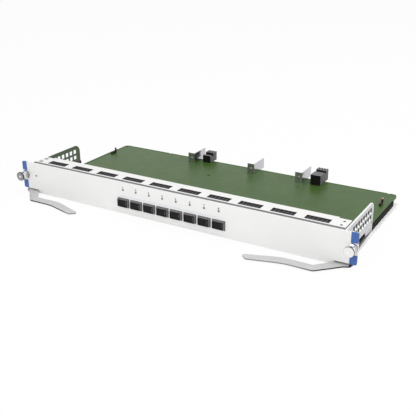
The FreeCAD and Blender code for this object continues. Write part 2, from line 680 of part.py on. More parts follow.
def lever_pins():
    """Shouldered pins riveted into the tabs behind the face."""
    for side, sign in SIDES.items():
        body = sub_part(f"{side}_lever_pin", f"{sign} * pivot_reach", "pivot_depth")
        head_top = "lever_low - pin_head_gap"
        tab_top = f"{TAB_LOW} + lever_tab_gauge"
        turn(body, "Z", (0, f"{head_top} - pin_head_gauge"),
             ("pin_head_radius", f"{head_top} - pin_head_gauge"), ("pin_head_radius", head_top),
             ("pin_radius", head_top), ("pin_radius", TAB_LOW), ("pin_neck_radius", TAB_LOW),
             ("pin_neck_radius", tab_top), ("pin_rivet_radius", tab_top),
             ("pin_rivet_radius", f"{tab_top} + pin_rivet_gauge"),
             (0, f"{tab_top} + pin_rivet_gauge"))


def screw_ferrules():
    """Collars pressed into the ears, with a spring pocket and a lip that keeps the screw."""
    for side, sign in SIDES.items():
        body = sub_part(f"{side}_screw_ferrule", f"{sign} * screw_reach", 0, "screw_height")
        tail = "face_gauge + ferrule_tail"
        lip = f"{tail} - ferrule_lip"
        lip_bore = "waist_radius + waist_fit"
        turn(body, "Y", ("ferrule_bore", "-ferrule_stand"), ("ferrule_radius", "-ferrule_stand"),
             ("ferrule_radius", 0), ("ferrule_shank", 0), ("ferrule_shank", tail),
             (lip_bore, tail), (lip_bore, lip), ("ferrule_bore", lip))


def thumb_screws():
    """Captive thumb screws: knob, hollow barrel, thin shank and threaded end."""
    for side, sign in SIDES.items():
        body = sub_part(f"{side}_thumb_screw", f"{sign} * screw_reach", 0, "screw_height")
        disc_back = "disc_gauge - screw_front"
        groove_back = f"{disc_back} + groove_width"
        barrel_end = "-ferrule_stand - barrel_gap"
        thread_start = "face_gauge + ferrule_tail + screw_travel"
        thread_end = f"{thread_start} + thread_length"
        turn(body, "Y", (0, "-screw_front"), ("disc_radius", "-screw_front"),
             ("disc_radius", disc_back), ("groove_radius", disc_back),
             ("groove_radius", groove_back), ("barrel_radius", groove_back),
             ("barrel_radius", barrel_end), ("barrel_bore", barrel_end),
             ("barrel_bore", SCREW_SEAT), ("waist_radius", SCREW_SEAT),
             ("waist_radius", thread_start), ("thread_radius", thread_start),
             ("thread_radius", thread_end), (0, thread_end))
        arm, half = "recess_reach", "recess_width / 2"
        cross = polygon((half, f"-{arm}"), (half, f"-{half}"), (arm, f"-{half}"), (arm, half),
                        (half, half), (half, arm), (f"-{half}", arm), (f"-{half}", half),
                        (f"-{arm}", half), (f"-{arm}", f"-{half}"), (f"-{half}", f"-{half}"),
                        (f"-{half}", f"-{arm}"))
        pocket(body, "XZ", "-screw_front", "recess_depth - screw_front", cross)


def screw_washers():
    """Thrust washers inside the barrels, where the springs push."""
    for side, sign in SIDES.items():
        body = sub_part(f"{side}_screw_washer", f"{sign} * screw_reach", 0, "screw_height")
        bore = "waist_radius + waist_fit"
        back = f"{SCREW_SEAT} + washer_gauge"
        turn(body, "Y", (bore, SCREW_SEAT), ("washer_radius", SCREW_SEAT),
             ("washer_radius", back), (bore, back))


def port_place(index):
    """Middle of one port from the middle of the face."""
    return f"{FIRST_PORT} + port_pitch * {index}"


def port_cages():
    """Sheet metal cages behind the ports, standing on the board."""
    for i in range(int(number("port_count"))):
        body = sub_part(f"port_cage_{i + 1}", port_place(i))
        start = "face_gauge + cage_set_back"
        half = "cage_width / 2"
        pad(body, "XZ", start, "cage_end", rectangle(f"-{half}", half, BOARD_TOP, "cage_top"))
        hollow = rectangle(f"cage_gauge - {half}", f"{half} - cage_gauge",
                           f"{BOARD_TOP} + cage_gauge", "cage_top - cage_gauge")
        pocket(body, "XZ", start, "cage_end - cage_gauge", hollow)


def port_plugs():
    """Black dust plugs: a tapered head in the face and a shank in the cage."""
    for i in range(int(number("port_count"))):
        body = sub_part(f"port_plug_{i + 1}", port_place(i), 0, "port_height")
        wide, tall = "plug_width / 2", "plug_height / 2"
        collar = rectangle(f"-{wide}", wide, f"-{tall}", tall)
        pad(body, "XZ", 0, "face_gauge", collar)
        head = body.newObject("PartDesign::AdditiveWedge", "Head")
        ends = {"X": ("plug_front_width / 2", wide), "Z": ("plug_front_height / 2", tall)}
        bind(head, "Ymin", "-plug_stand")
        head.Ymax = 0
        for letter, (front, back) in ends.items():
            bind(head, f"{letter}min", f"-{front}")
            bind(head, f"{letter}max", front)
            bind(head, f"{letter}2min", f"-{back}")
            bind(head, f"{letter}2max", back)
        inset = "(cage_gauge + plug_fit)"
        shank_wide = f"cage_width / 2 - {inset}"
        low = f"{BOARD_TOP} + {inset} - port_height"
        high = f"cage_top - {inset} - port_height"
        shank = rectangle(f"-({shank_wide})", shank_wide, low, high)
        pad(body, "XZ", "face_gauge", "plug_end", shank)


def light_pipes():
    """Clear bar with eight light pipes, and one light pipe alone for the status light."""
    bar = sub_part("light_pipe_bar")
    edge = "light_size / 2 + light_bar_edge"
    last = f"{FIRST_PORT} + {PORT_SPAN}"
    strip = rectangle(f"{FIRST_PORT} - ({edge})", f"{last} + {edge}",
                      f"light_height - ({edge})", f"light_height + {edge}")
    pad(bar, "XZ", "face_gauge", "face_gauge + light_bar_depth", strip)
    pipe = square(FIRST_PORT, "light_height", "light_size")
    first = pad(bar, "XZ", "-light_stand", "face_gauge", pipe)
    repeat(bar, first, "port_count", PORT_SPAN)
    status = sub_part("status_light_pipe", "-status_reach", 0, "status_height")
    pad(status, "XZ", "-light_stand", "face_gauge", square(0, 0, "light_size"))
    shoulder = square(0, 0, "status_shoulder")
    pad(status, "XZ", "face_gauge", "face_gauge + status_length", shoulder)


def guide_brackets():
    """Polished brackets at the rear of the board: front plate, side wing and foot."""
    for place in ("left", "middle", "right"):
        body = sub_part(f"{place}_guide_bracket", f"guide_{place}", 0, BOARD_TOP)
        plate = rectangle(0, "guide_width", 0, "guide_height")
        pad(body, "XZ", "guide_start", "guide_start + guide_gauge", plate)
        wing = rectangle("guide_start", "guide_end", 0, "guide_height")
        pad(body, "YZ", "guide_width - guide_gauge", "guide_width", wing)
        foot = rectangle(0, "guide_width", "guide_start", "guide_foot_end")
        pad(body, "XY", 0, "guide_gauge", foot)
        hole = circle("guide_width / 2", "guide_screw_height", "guide_screw_shank + hole_gap")
        pocket(body, "XZ", "guide_start", "guide_start + guide_gauge", hole)


def rear_connectors():
    """Black rear connectors: a low front block, a trough and a taller ridged rear block."""
    for side, values in CONNECTORS.items():
        left, width, start, end, front_top, rear_top, step = [
            f"{side}_socket_{name}" for name in CONNECTOR_WORDS]
        body = sub_part(f"{side}_rear_connector", left)
        profile = polygon((start, BOARD_TOP), (end, BOARD_TOP), (end, rear_top),
                          (step, rear_top), (step, f"{front_top} - socket_trough_depth"),
                          (f"{step} - socket_trough", f"{front_top} - socket_trough_depth"),
                          (f"{step} - socket_trough", front_top), (start, front_top))
        pad(body, "YZ", 0, width, profile)
        opening = rectangle("socket_wall", f"{width} - socket_wall",
                            f"{BOARD_TOP} + socket_wall", f"{front_top} - socket_trough_depth")
        pocket(body, "XZ", f"{end} - socket_depth", end, opening)
        ridge = f"{width} / socket_ridges"
        groove = rectangle(f"{ridge} - socket_groove / 2", f"{ridge} + socket_groove / 2",
                           f"{rear_top} - socket_groove", rear_top)
        first = pocket(body, "XZ", step, end, groove)
        repeat(body, first, "socket_ridges - 1", f"{ridge} * (socket_ridges - 2)")


def board_clips():
    """Small spring clips at the board's sides: a black base and a bent metal leaf."""
    for side, sign in SIDES.items():
        place = f"{sign} * (board_reach - {side}_clip_inset)"
        half = "clip_width / 2"
        base = sub_part(f"{side}_clip_base", place, 0, BOARD_TOP)
        foot = rectangle(f"-{half}", half, "clip_start", "clip_end")
        pad(base, "XY", 0, "clip_base_height", foot)
        leaf = sub_part(f"{side}_clip_leaf", place, 0, BOARD_TOP)
        low = "clip_base_height"
        shape = polygon(("clip_start", low), ("clip_end", low), ("clip_end", "clip_height"),
                        ("clip_end - clip_gauge", "clip_height"),
                        ("clip_end - clip_gauge", f"{low} + clip_gauge"),
                        ("clip_start", f"{low} + clip_gauge"))
        pad(leaf, "YZ", f"-{half}", half, shape)


def headed_pin(label, axis, place, head, shank_radius, seat, end, head_end):
    """A screw: shank from its seat to its end, and a head on the seat's other side."""
    body = new_body(label, *place)
    turn(body, axis, (0, end), (shank_radius, end), (shank_radius, seat), (head, seat),
         (head, head_end), (0, head_end))
    return body


def fasteners():
    """Screws and stand-offs, each kind a group of separate solids."""
    wall = []
    for side, sign in SIDES.items():
        wall.append(headed_pin(
            f"{side}_wall_screw", "X", (0, "wall_screw_depth", "wall_screw_height"),
            "wall_screw_head", "wall_screw_shank", f"{sign} * bracket_reach",
            f"{sign} * (bracket_reach + bracket_gauge)",
            f"{sign} * (bracket_reach - wall_screw_stand)"))
    group("wall_screws", wall)
    standoffs, screws, guide_screws = [], [], []
    for i, across in enumerate(standoff_places(), 1):
        standoff = new_body(f"standoff_{i}", across, "standoff_depth")
        bore = "board_screw_radius + hole_gap"
        turn(standoff, "Z", (bore, "tray_gauge"), ("standoff_radius", "tray_gauge"),
             ("standoff_radius", "board_low"), (bore, "board_low"))
        standoffs.append(standoff)
        screws.append(headed_pin(
            f"board_screw_{i}", "Z", (across, "standoff_depth"), "board_screw_head",
            "board_screw_radius", BOARD_TOP, "board_low - board_screw_bite",
            f"{BOARD_TOP} + board_screw_stand"))
    for place in ("left", "middle", "right"):
        centre = (f"guide_{place} + guide_width / 2", 0, f"{BOARD_TOP} + guide_screw_height")
        guide_screws.append(headed_pin(
            f"{place}_guide_screw", "Y", centre, "guide_screw_head", "guide_screw_shank",
            "guide_start", "guide_start + guide_gauge + guide_screw_tail",
            "guide_start - guide_screw_stand"))
    group("board_standoffs", standoffs)
    group("board_screws", screws)
    group("guide_screws", guide_screws)


CONNECTOR_WORDS = ("left", "width", "start", "end", "front_top", "rear_top", "step")


def fill_sheet():
    """Writes every driving size into the sheet."""
    for name, value, meaning in SIZES:
        add_size(name, value, meaning)
    for side, values in CONNECTORS.items():
        for word, value in zip(CONNECTOR_WORDS, values):
            add_size(f"{side}_socket_{word}", value, f"{side} rear connector: {word}")
    for name, across, back, radius in LEVER_CORNERS:
        add_size(f"lever_{name}_x", across, f"lever's {name}, across from the pivot")
        add_size(f"lever_{name}_y", back, f"lever's {name}, back from the pivot")
        if radius:
            add_size(f"lever_{name}_round", radius, f"radius of the lever's {name}")
    doc.recompute()


def check_and_export():
    """Stops at a failed object or a bad shape, then writes one file for each sub-part."""
    doc.recompute()
    for item in doc.Objects:
        if "Invalid" in item.State or "Error" in item.State:
            raise RuntimeError(f"{item.Label} did not build: {item.State}")
    os.makedirs("parts", exist_ok=True)
    for piece in sub_parts:
        shape = piece.Shape
        if shape.isNull() or not shape.isValid() or not shape.Solids:
            raise RuntimeError(f"{piece.Label} has no valid shape")
        shape.exportStep(f"parts/{piece.Label}.step")
        print(f"{piece.Label:26s} {len(shape.Solids):2d} solids {shape.Volume:10.2f} mm3")


fill_sheet()
front_panel()
ear_caps()
flange_gasket()
top_vent_flange()
vent_screen()
side_brackets()
bottom_tray()
circuit_board()
edge_rails()
ejector_levers()
lever_pins()
screw_ferrules()
thumb_screws()
screw_washers()
port_cages()
port_plugs()
light_pipes()
guide_brackets()
rear_connectors()
board_clips()
fasteners()
check_and_export()
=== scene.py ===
# %% [markdown]
# # A switch line card, dressed
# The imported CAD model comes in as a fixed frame, in metres. X runs along the white face, Y runs
# back over the green board and Z runs up. A maker would now think about what the plain solids
# lack: rolled and deburred edges, paint, plating, moulded grain and small printed marks. Each
# step below adds one of these to the frame, and never moves the frame itself.

# %% Load the frame
import json
import math

import bmesh
import bpy
from mathutils import Matrix, Vector

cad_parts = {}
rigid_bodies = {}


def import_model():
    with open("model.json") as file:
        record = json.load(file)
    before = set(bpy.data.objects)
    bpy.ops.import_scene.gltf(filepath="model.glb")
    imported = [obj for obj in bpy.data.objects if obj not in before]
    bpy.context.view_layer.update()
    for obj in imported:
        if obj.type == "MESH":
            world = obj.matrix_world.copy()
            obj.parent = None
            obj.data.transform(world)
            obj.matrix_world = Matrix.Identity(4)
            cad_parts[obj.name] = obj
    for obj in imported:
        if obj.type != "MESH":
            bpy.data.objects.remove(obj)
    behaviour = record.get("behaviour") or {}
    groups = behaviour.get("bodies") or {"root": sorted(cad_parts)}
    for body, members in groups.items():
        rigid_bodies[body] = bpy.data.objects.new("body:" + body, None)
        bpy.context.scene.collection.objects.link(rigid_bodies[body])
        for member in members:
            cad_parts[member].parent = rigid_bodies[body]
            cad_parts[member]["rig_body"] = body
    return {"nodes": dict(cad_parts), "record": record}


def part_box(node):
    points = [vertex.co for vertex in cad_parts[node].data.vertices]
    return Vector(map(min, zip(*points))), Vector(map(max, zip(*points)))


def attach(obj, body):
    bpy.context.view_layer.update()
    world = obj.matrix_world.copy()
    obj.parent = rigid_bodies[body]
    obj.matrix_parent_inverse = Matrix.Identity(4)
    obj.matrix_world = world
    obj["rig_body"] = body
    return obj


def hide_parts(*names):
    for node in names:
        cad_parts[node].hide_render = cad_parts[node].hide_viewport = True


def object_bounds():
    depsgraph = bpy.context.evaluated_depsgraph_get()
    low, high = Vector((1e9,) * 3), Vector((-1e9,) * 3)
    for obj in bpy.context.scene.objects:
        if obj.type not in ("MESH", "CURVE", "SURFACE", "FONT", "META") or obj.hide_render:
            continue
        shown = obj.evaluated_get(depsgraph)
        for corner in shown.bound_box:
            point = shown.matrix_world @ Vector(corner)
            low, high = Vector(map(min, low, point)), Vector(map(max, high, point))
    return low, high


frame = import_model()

cad_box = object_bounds()
nodes = frame["nodes"]
slot_of = {row["node"]: row["material_slot"] for row in frame["record"]["subparts"]}
print(len(nodes), "nodes from", [round(v, 4) for v in cad_box[0]], "to",
      [round(v, 4) for v in cad_box[1]])

# %% [markdown]
# ## The camera
# The photograph looks down on the card from its front right with a fairly long lens. A camera
# could be aimed with a Track To constraint, but the picture is also turned by a quarter of a
# degree, so its three axes are worked out from azimuth, elevation and roll instead.

# %% Camera
AZIMUTH = math.radians(30.3145)
ELEVATION = math.radians(22.815)
ROLL = math.radians(-0.2705)
LENS, SENSOR = 59.66, 36
CAMERA_PLACE = (0.3564, -0.6154, 0.2863)


def camera_axes():
    """Right, up and backward directions of the camera."""
    flat = math.cos(ELEVATION)
    back = Vector((math.sin(AZIMUTH) * flat, -math.cos(AZIMUTH) * flat, math.sin(ELEVATION)))
    right = Vector((math.cos(AZIMUTH), math.sin(AZIMUTH), 0))
    turn = Matrix.Rotation(ROLL, 3, back)
    return turn @ right, turn @ back.cross(right), back


camera = bpy.data.objects.new("camera", bpy.data.cameras.new("camera"))
bpy.context.scene.collection.objects.link(camera)
camera.data.lens = LENS
camera.data.sensor_width = SENSOR
camera.matrix_world = (Matrix.Translation(CAMERA_PLACE)
                       @ Matrix(camera_axes()).transposed().to_4x4())
bpy.context.scene.camera = camera
bpy.context.scene.view_settings.view_transform = "Standard"
print("camera at", CAMERA_PLACE, "with a", LENS, "mm lens")

# %% [markdown]
# ## Maths on sockets
# A finish is a web of small nodes. Placing each one by hand hides the idea, so one small class
# wraps a node's output and lets it be added and multiplied like a number. A second class holds
# a web, and has a single method that makes any other node from its type, its settings and its
# inputs.

# %% Values


class Value:
    """One output of a node. Sums on it add Math nodes to the same web."""

    def __init__(self, web, output):
        self.web = web
        self.output = output

    def math(self, operation, *others):
        """A Math node on this value, and on others where it takes more than one."""
        inputs = dict(enumerate((self, *others)))
        return self.web.node("ShaderNodeMath", {"operation": operation}, inputs)

    def __add__(self, other):
        return self.math("ADD", other)

    def __sub__(self, other):
        return self.math("SUBTRACT", other)

    def __rsub__(self, other):
        return self.web.node("ShaderNodeMath", {"operation": "SUBTRACT"}, {0: other, 1: self})

    def __mul__(self, other):
        return self.math("MULTIPLY", other)

    __radd__ = __add__
    __rmul__ = __mul__

    def spread(self, low, high):
        """This value, which runs from nought to one, made to run from low to high."""
        return self * (high - low) + low


print("a class for one output")

# %% Webs of nodes


class Web:
    """The nodes of a material or of the world."""

    def __init__(self, tree):
        self.tree = tree

    def node(self, kind, settings=None, inputs=None, output=0):
        """Any node: its type, its settings, and the numbers or values of its sockets."""
        made = self.tree.nodes.new(kind)
        for word, setting in (settings or {}).items():
            setattr(made, word, setting)
        for key, value in (inputs or {}).items():
            self.feed(made.inputs[key], value)
        return Value(self, made.outputs[output])

    def feed(self, socket, value):
        """Sets a socket to a number or colour, or links a value to it."""
        if isinstance(value, Value):
            self.tree.links.new(value.output, socket)
        else:
            socket.default_value = value


print("a class for a web of nodes")

# %% [markdown]
# ## Finishes
# A finish is a web round one Principled shader. Fixed numbers are set on the shader's own
# sockets. Patterns follow the point on the piece in metres, so that their marks have a real
# size on every piece, whatever its own size is. A maker thinks in millimetres, so sizes are
# written with MM from here on.

# %% Finishes
MM = 0.001
EVEN = (1, 1, 1)
MIX_COLOURS = (6, 7)
MIX_RESULT = 2
finishes = {}


class Finish(Web):
    """A material, kept by its name among the finishes."""

    def __init__(self, name, **fixed):
        self.material = bpy.data.materials.new(name)
        self.material.use_nodes = True
        super().__init__(self.material.node_tree)
        self.shader = self.tree.nodes["Principled BSDF"]
        self.drive(**fixed)
        finishes[name] = self

    def drive(self, **values):
        """Feeds numbers, colours or values to the sockets of the shader."""
        for word, value in values.items():
            self.feed(self.shader.inputs[word.replace("_", " ")], value)

    def place(self, stretch=EVEN):
        """The point on the piece, stretched along X, Y and Z."""
        here = self.node("ShaderNodeTexCoord", output="Object")
        return self.node("ShaderNodeMapping", inputs={"Vector": here, "Scale": stretch})

    def along(self, axis):
        """How far the point lies along X, Y or Z."""
        return self.node("ShaderNodeSeparateXYZ", inputs={0: self.place()}, output=axis)

    def noise(self, size, detail, stretch=EVEN):
        """Cloudy values round a half, with marks of about this size."""
        return self.node("ShaderNodeTexNoise", inputs={
            "Vector": self.place(stretch), "Scale": 1 / size, "Detail": detail})

    def colours(self, factor, first, second):
        """A colour between two."""
        a, b = MIX_COLOURS
        return self.node("ShaderNodeMix", {"data_type": "RGBA"},
                         {0: factor, a: first, b: second}, MIX_RESULT)

    def mottled(self, size, detail, first, second):
        """Two near colours in clouds of about this size."""
        return self.colours(self.noise(size, detail), first, second)

    def relief(self, height, depth):
        """Bumps on the surface, and their depth."""
        self.drive(Normal=self.node("ShaderNodeBump", inputs={"Height": height,
                                                              "Distance": depth}))


def rgb(red, green, blue):
    """A colour with its alpha."""
    return (red, green, blue, 1.0)


print("finishes are ready to be mixed")

# %% [markdown]
# ## The studio
# The card floats on plain white paper. A curved paper backdrop would do, but the part is looked
# at from every side, so a wide pale floor under an even sky is simpler. What the camera and
# the polished metal see of floor and sky is a little brighter than what lights the card, so
# that the ground is white and the shadow stays soft.

# %% Floor
FLOOR_SIZE, FLOOR_GAP = 14.0, 0.2 * MM
GLOW_SHARE = 0.93


def seen(web):
    """One where a ray comes from the camera, a mirror or glass, and nothing elsewhere."""
    camera_ray, glossy_ray, clear_ray = (
        web.node("ShaderNodeLightPath", output=word)
        for word in ("Is Camera Ray", "Is Glossy Ray", "Is Transmission Ray"))
    return camera_ray.math("MAXIMUM", glossy_ray).math("MAXIMUM", clear_ray)


floor_form = bmesh.new()
bmesh.ops.create_grid(floor_form, x_segments=1, y_segments=1, size=FLOOR_SIZE / 2)
floor_mesh = bpy.data.meshes.new("floor")
floor_form.to_mesh(floor_mesh)
floor_form.free()
floor = bpy.data.objects.new("floor", floor_mesh)
floor.location.z = cad_box[0].z - FLOOR_GAP
bpy.context.scene.collection.objects.link(floor)

paper = Finish("floor_paper", Base_Color=rgb(0.93, 0.93, 0.93), Roughness=0.9,
               Specular_IOR_Level=0.0)
glow = paper.node("ShaderNodeEmission", inputs={"Color": rgb(1, 1, 1), "Strength": 1.0})
lit = Value(paper, paper.shader.outputs[0])
both = paper.node("ShaderNodeMixShader", inputs={0: seen(paper) * GLOW_SHARE, 1: lit, 2: glow})
paper.feed(paper.tree.nodes["Material Output"].inputs["Surface"], both)
floor_mesh.materials.append(paper.material)
print("floor", FLOOR_SIZE, "m wide at", round(floor.location.z, 4))

# %% Sky
SKY_LEVEL = 0.62
world = bpy.data.worlds.new("studio")
bpy.context.scene.world = world
world.use_nodes = True
sky = Web(world.node_tree)
background = sky.tree.nodes["Background"]
background.inputs["Color"].default_value = rgb(1, 1, 1)
sky.feed(background.inputs["Strength"], seen(sky).spread(SKY_LEVEL, 1))
print("sky lights the card at", SKY_LEVEL)

# %% [markdown]
# ## Lamps
# One large soft box hangs over the card and to its right. A second stands low beyond its right
# end, where the photograph's black plastic has its light edges. A third, weaker one stands
# before the middle of the face, which is a touch brighter there than at its ends. Area lamps
# are the studio's own soft boxes, so no other kind is needed.

# %% Lamps


def soft_box(name, place, aim, size, power):
    """A square area lamp that points at a spot."""
    lamp = bpy.data.objects.new(name, bpy.data.lights.new(name, "AREA"))
    lamp.data.size = size
    lamp.data.energy = power
    lamp.location = place
    lamp.rotation_mode = "QUATERNION"
    lamp.rotation_quaternion = (Vector(aim) - Vector(place)).to_track_quat("-Z", "Y")
    bpy.context.scene.collection.objects.link(lamp)


soft_box("overhead_box", place=(0.5, 0.1, 1.5), aim=(0, 0, 0), size=1.3, power=7.5)
soft_box("right_box", place=(1.3, 0.5, 0.7), aim=(0.1, 0, 0), size=0.9, power=4.5)
soft_box("front_box", place=(0.0, -1.0, 0.55), aim=(0, -0.08, 0.01), size=0.6, power=3.0)
print("three soft boxes")

# %% [markdown]
# ## White powder coat
# The face, the vented flange and the tray are steel sheet with a white powder coat. Baked
# powder flows into a faint orange peel about a millimetre across, which only a glancing light
# shows. A fine noise bends the surface, and a wide one moves the gloss a little. The tray lies
# in the shade of the card, and its coat is painted whiter, painted light that lifts that shade.

# %% White powder coat
coat = Finish("white_paint")
coat.drive(
    Base_Color=coat.mottled(20 * MM, 3, rgb(0.85, 0.85, 0.84), rgb(0.88, 0.88, 0.87)),
    Roughness=coat.noise(6 * MM, 3).spread(0.34, 0.5))
coat.relief(coat.noise(0.9 * MM, 1) + coat.noise(2.5 * MM, 1) * 2, 0.01 * MM)
# painted light: a whiter coat for the tray, which lies in the card's shade
tray_coat = Finish("tray_white", Roughness=0.5)
tray_coat.drive(
    Base_Color=tray_coat.mottled(20 * MM, 3, rgb(0.95, 0.95, 0.94), rgb(0.97, 0.97, 0.96)))
print("powder coat, and a whiter one for the tray")

# %% [markdown]
# ## Moulded plastics
# The blue ear caps, the black plugs, rails and connectors come out of steel moulds with a spark
# eroded grain. That grain is far finer than a pixel of the photograph, but it breaks up the
# highlights. One recipe serves all of them, with its own colour, gloss and grain.

# %% Moulded plastics
PLASTIC_CLOUD, GLOSS_PATCH, GLOSS_SPREAD = 4 * MM, 1.2 * MM, 0.07


def moulded(name, dark, light, gloss, grain=0.3 * MM, depth=0.01 * MM, shine=0.4):
    """A moulded plastic: two near colours, a roughness, a fine grain and its shine."""
    plastic = Finish(name, Specular_IOR_Level=shine)
    patches = plastic.noise(GLOSS_PATCH, 2)
    plastic.drive(Base_Color=plastic.mottled(PLASTIC_CLOUD, 4, dark, light),
                  Roughness=patches.spread(gloss - GLOSS_SPREAD, gloss + GLOSS_SPREAD))
    plastic.relief(plastic.noise(grain, 2), depth)


moulded("blue_plastic", rgb(0.05, 0.125, 0.37), rgb(0.06, 0.145, 0.42), 0.45, grain=0.4 * MM)
moulded("black_plastic", rgb(0.008, 0.007, 0.008), rgb(0.013, 0.012, 0.013), 0.35,
        depth=0.008 * MM, shine=0.14)
moulded("rail_black", rgb(0.005, 0.005, 0.006), rgb(0.009, 0.009, 0.010), 0.6, shine=0.06)
moulded("screen_black", rgb(0.055, 0.055, 0.06), rgb(0.07, 0.07, 0.075), 0.6, shine=0.1)
# painted highlight: these two lighter blacks are black plastic painted lighter where light falls
# on it, not other plastics
moulded("painted_sidelight_black", rgb(0.09, 0.087, 0.09), rgb(0.13, 0.125, 0.13), 0.6)
moulded("painted_highlight_black", rgb(0.13, 0.125, 0.13), rgb(0.19, 0.18, 0.19), 0.65)
moulded("clear_plastic", rgb(0.15, 0.155, 0.16), rgb(0.19, 0.195, 0.2), 0.16, grain=2 * MM,
        depth=0.002 * MM)
print("seven plastics")

# %% [markdown]
# ## The gasket
# The strip between face and flange is foam in a metallised fabric, which keeps radio noise in.
# Its weave is two crossing sets of threads, so two sine waves are multiplied and both the
# colour and the relief follow them.

# %% Gasket fabric
THREAD = 0.5 * MM
gasket = Finish("dark_gasket", Roughness=0.6, Metallic=0.2)
warp, weft = ((gasket.along(axis) * (2 * math.pi / THREAD)).math("SINE") for axis in "XZ")
weave = (warp * weft) * 0.5 + 0.5
gasket.drive(Base_Color=gasket.colours(weave, rgb(0.14, 0.135, 0.14), rgb(0.26, 0.25, 0.26)))
gasket.relief(weave, 0.06 * MM)
print("gasket with a thread every", THREAD / MM, "mm")

# %% [markdown]
# ## Metals
# Polished stainless sheet, nickel plated turned parts, tinned cages and black oxide screws are
# one recipe too: a metal whose roughness varies along fine drawn lines. The lines come from a
# noise that is stretched fiftyfold, and run the way the sheet was rolled. Turned and plated
# parts are too small to show a direction, so their noise is even.

# %% Metals
ALONG_X, ALONG_Y = (0.02, 1, 1), (1, 0.02, 1)
METAL_CLOUD, POLISH_SPREAD = 12 * MM, 0.1


def metal(name, dull, bright, polish, lines=0.5 * MM, stretch=EVEN, depth=0.001 * MM):
    """A bare or plated metal with fine lines along its stretched direction."""
    plate = Finish(name, Metallic=1.0)
    grain = plate.noise(lines, 2, stretch)
    plate.drive(Base_Color=plate.mottled(METAL_CLOUD, 3, dull, bright),
                Roughness=grain.spread(polish - POLISH_SPREAD, polish + POLISH_SPREAD))
    plate.relief(grain, depth)


metal("polished_steel", rgb(0.48, 0.48, 0.50), rgb(0.57, 0.56, 0.59), 0.16, lines=0.4 * MM,
      stretch=ALONG_Y, depth=0.0006 * MM)
# painted highlight for the walls' top and rear edges and their sills
metal("bright_edge", rgb(0.90, 0.90, 0.90), rgb(0.96, 0.96, 0.96), 0.5, stretch=ALONG_Y,
      depth=0.0006 * MM)
# painted shade for the walls of the windows that look forward
metal("window_painted_shade", rgb(0.13, 0.15, 0.12), rgb(0.18, 0.20, 0.165), 0.4)
metal("nickel", rgb(0.84, 0.83, 0.82), rgb(0.92, 0.91, 0.90), 0.2, depth=0.0004 * MM)
# dull nickel for the guide screws and the left dimples, and painted shade on the ferrules and the
# left screw's front
metal("dull_nickel_and_painted_shade", rgb(0.26, 0.26, 0.27), rgb(0.36, 0.35, 0.37), 0.4)
# darker nickel for the knurled rims and the studs of the right dimples
metal("darkened_nickel", rgb(0.035, 0.032, 0.032), rgb(0.07, 0.065, 0.065), 0.36)
metal("cage_metal", rgb(0.58, 0.58, 0.56), rgb(0.68, 0.68, 0.66), 0.28, stretch=ALONG_Y)
metal("clip_metal", rgb(0.02, 0.016, 0.014), rgb(0.04, 0.032, 0.028), 0.5, stretch=ALONG_Y)
# dark steel is also painted on the panel's back, the flange's ends and the levers' tops in the
# slot, as painted shade
metal("dark_steel", rgb(0.09, 0.09, 0.10), rgb(0.15, 0.15, 0.16), 0.32, lines=0.6 * MM,
      depth=0.002 * MM)
print("nine metals")

# %% [markdown]
# ## The levers' metal
# The ejector levers are punched from thick sheet. Their flat sides are satin and light, and
# the sheared edges stay dark, which draws a dark line round each lever in the photograph. Two
# materials on one piece say that better than any mask. Towards the handles' ends the edges
# are grey instead, so the dark is ramped along the card, from a different place on each side.

# %% Lever metal
lever_flat = Finish("lever_metal", Metallic=0.55)
satin = lever_flat.noise(0.5 * MM, 2, ALONG_X)
lever_flat.drive(
    Base_Color=lever_flat.mottled(10 * MM, 3, rgb(0.60, 0.60, 0.60), rgb(0.68, 0.68, 0.68)),
    Roughness=satin.spread(0.3, 0.5))
lever_flat.relief(satin, 0.002 * MM)
print("satin lever metal")

# %% Sheared edge
RIGHT_EDGE_GREY, RIGHT_DARK = 150 * MM, 172 * MM
LEFT_EDGE_GREY, LEFT_DARK = -106 * MM, -116 * MM
TORN = (1, 1, 0.08)


def ramp(value, start, end):
    """Nothing at the start and one at the end."""
    return value.web.node("ShaderNodeMapRange", inputs={
        "Value": value, "From Min": start, "From Max": end})


lever_edge = Finish("lever_sheared_edge", Metallic=0.8)
edge_x = lever_edge.along("X")
# the edge is grey towards the handles' ends and dark beyond RIGHT_DARK and LEFT_DARK
dark_run = ramp(edge_x, RIGHT_EDGE_GREY, RIGHT_DARK).math("MAXIMUM",
                                                     ramp(edge_x, LEFT_EDGE_GREY, LEFT_DARK))
tear = lever_edge.noise(0.4 * MM, 3, TORN)
sheared = lever_edge.colours(tear, rgb(0.02, 0.02, 0.023), rgb(0.06, 0.06, 0.065))
lever_edge.drive(Base_Color=lever_edge.colours(dark_run, rgb(0.30, 0.30, 0.31), sheared),
                 Roughness=tear.spread(0.35, 0.65))
lever_edge.relief(tear, 0.01 * MM)
print("sheared edge, dark beyond", RIGHT_DARK, "and", LEFT_DARK)

# %% [markdown]
# ## The circuit board
# Green solder mask lies over copper. Where a track runs under it, the mask is a shade lighter
# and stands up by a few hundredths of a millimetre. Tracks run in bundles, each bundle along X
# or along Y, so a Voronoi pattern of square cells chooses the direction and a folded
# coordinate draws the lines. The contrast is low, as the photograph's board looks plain.

# %% Circuit board
TRACK_PITCH, TRACK_WIDTH = 1.1 * MM, 0.2 * MM
BUNDLE, BARE_SHARE = 17 * MM, 0.35
board = Finish("green_board", Specular_IOR_Level=0.2)


def line_mask(coordinate):
    """One on a track and nothing beside it."""
    return coordinate.math("PINGPONG", TRACK_PITCH / 2).math("LESS_THAN", TRACK_WIDTH)


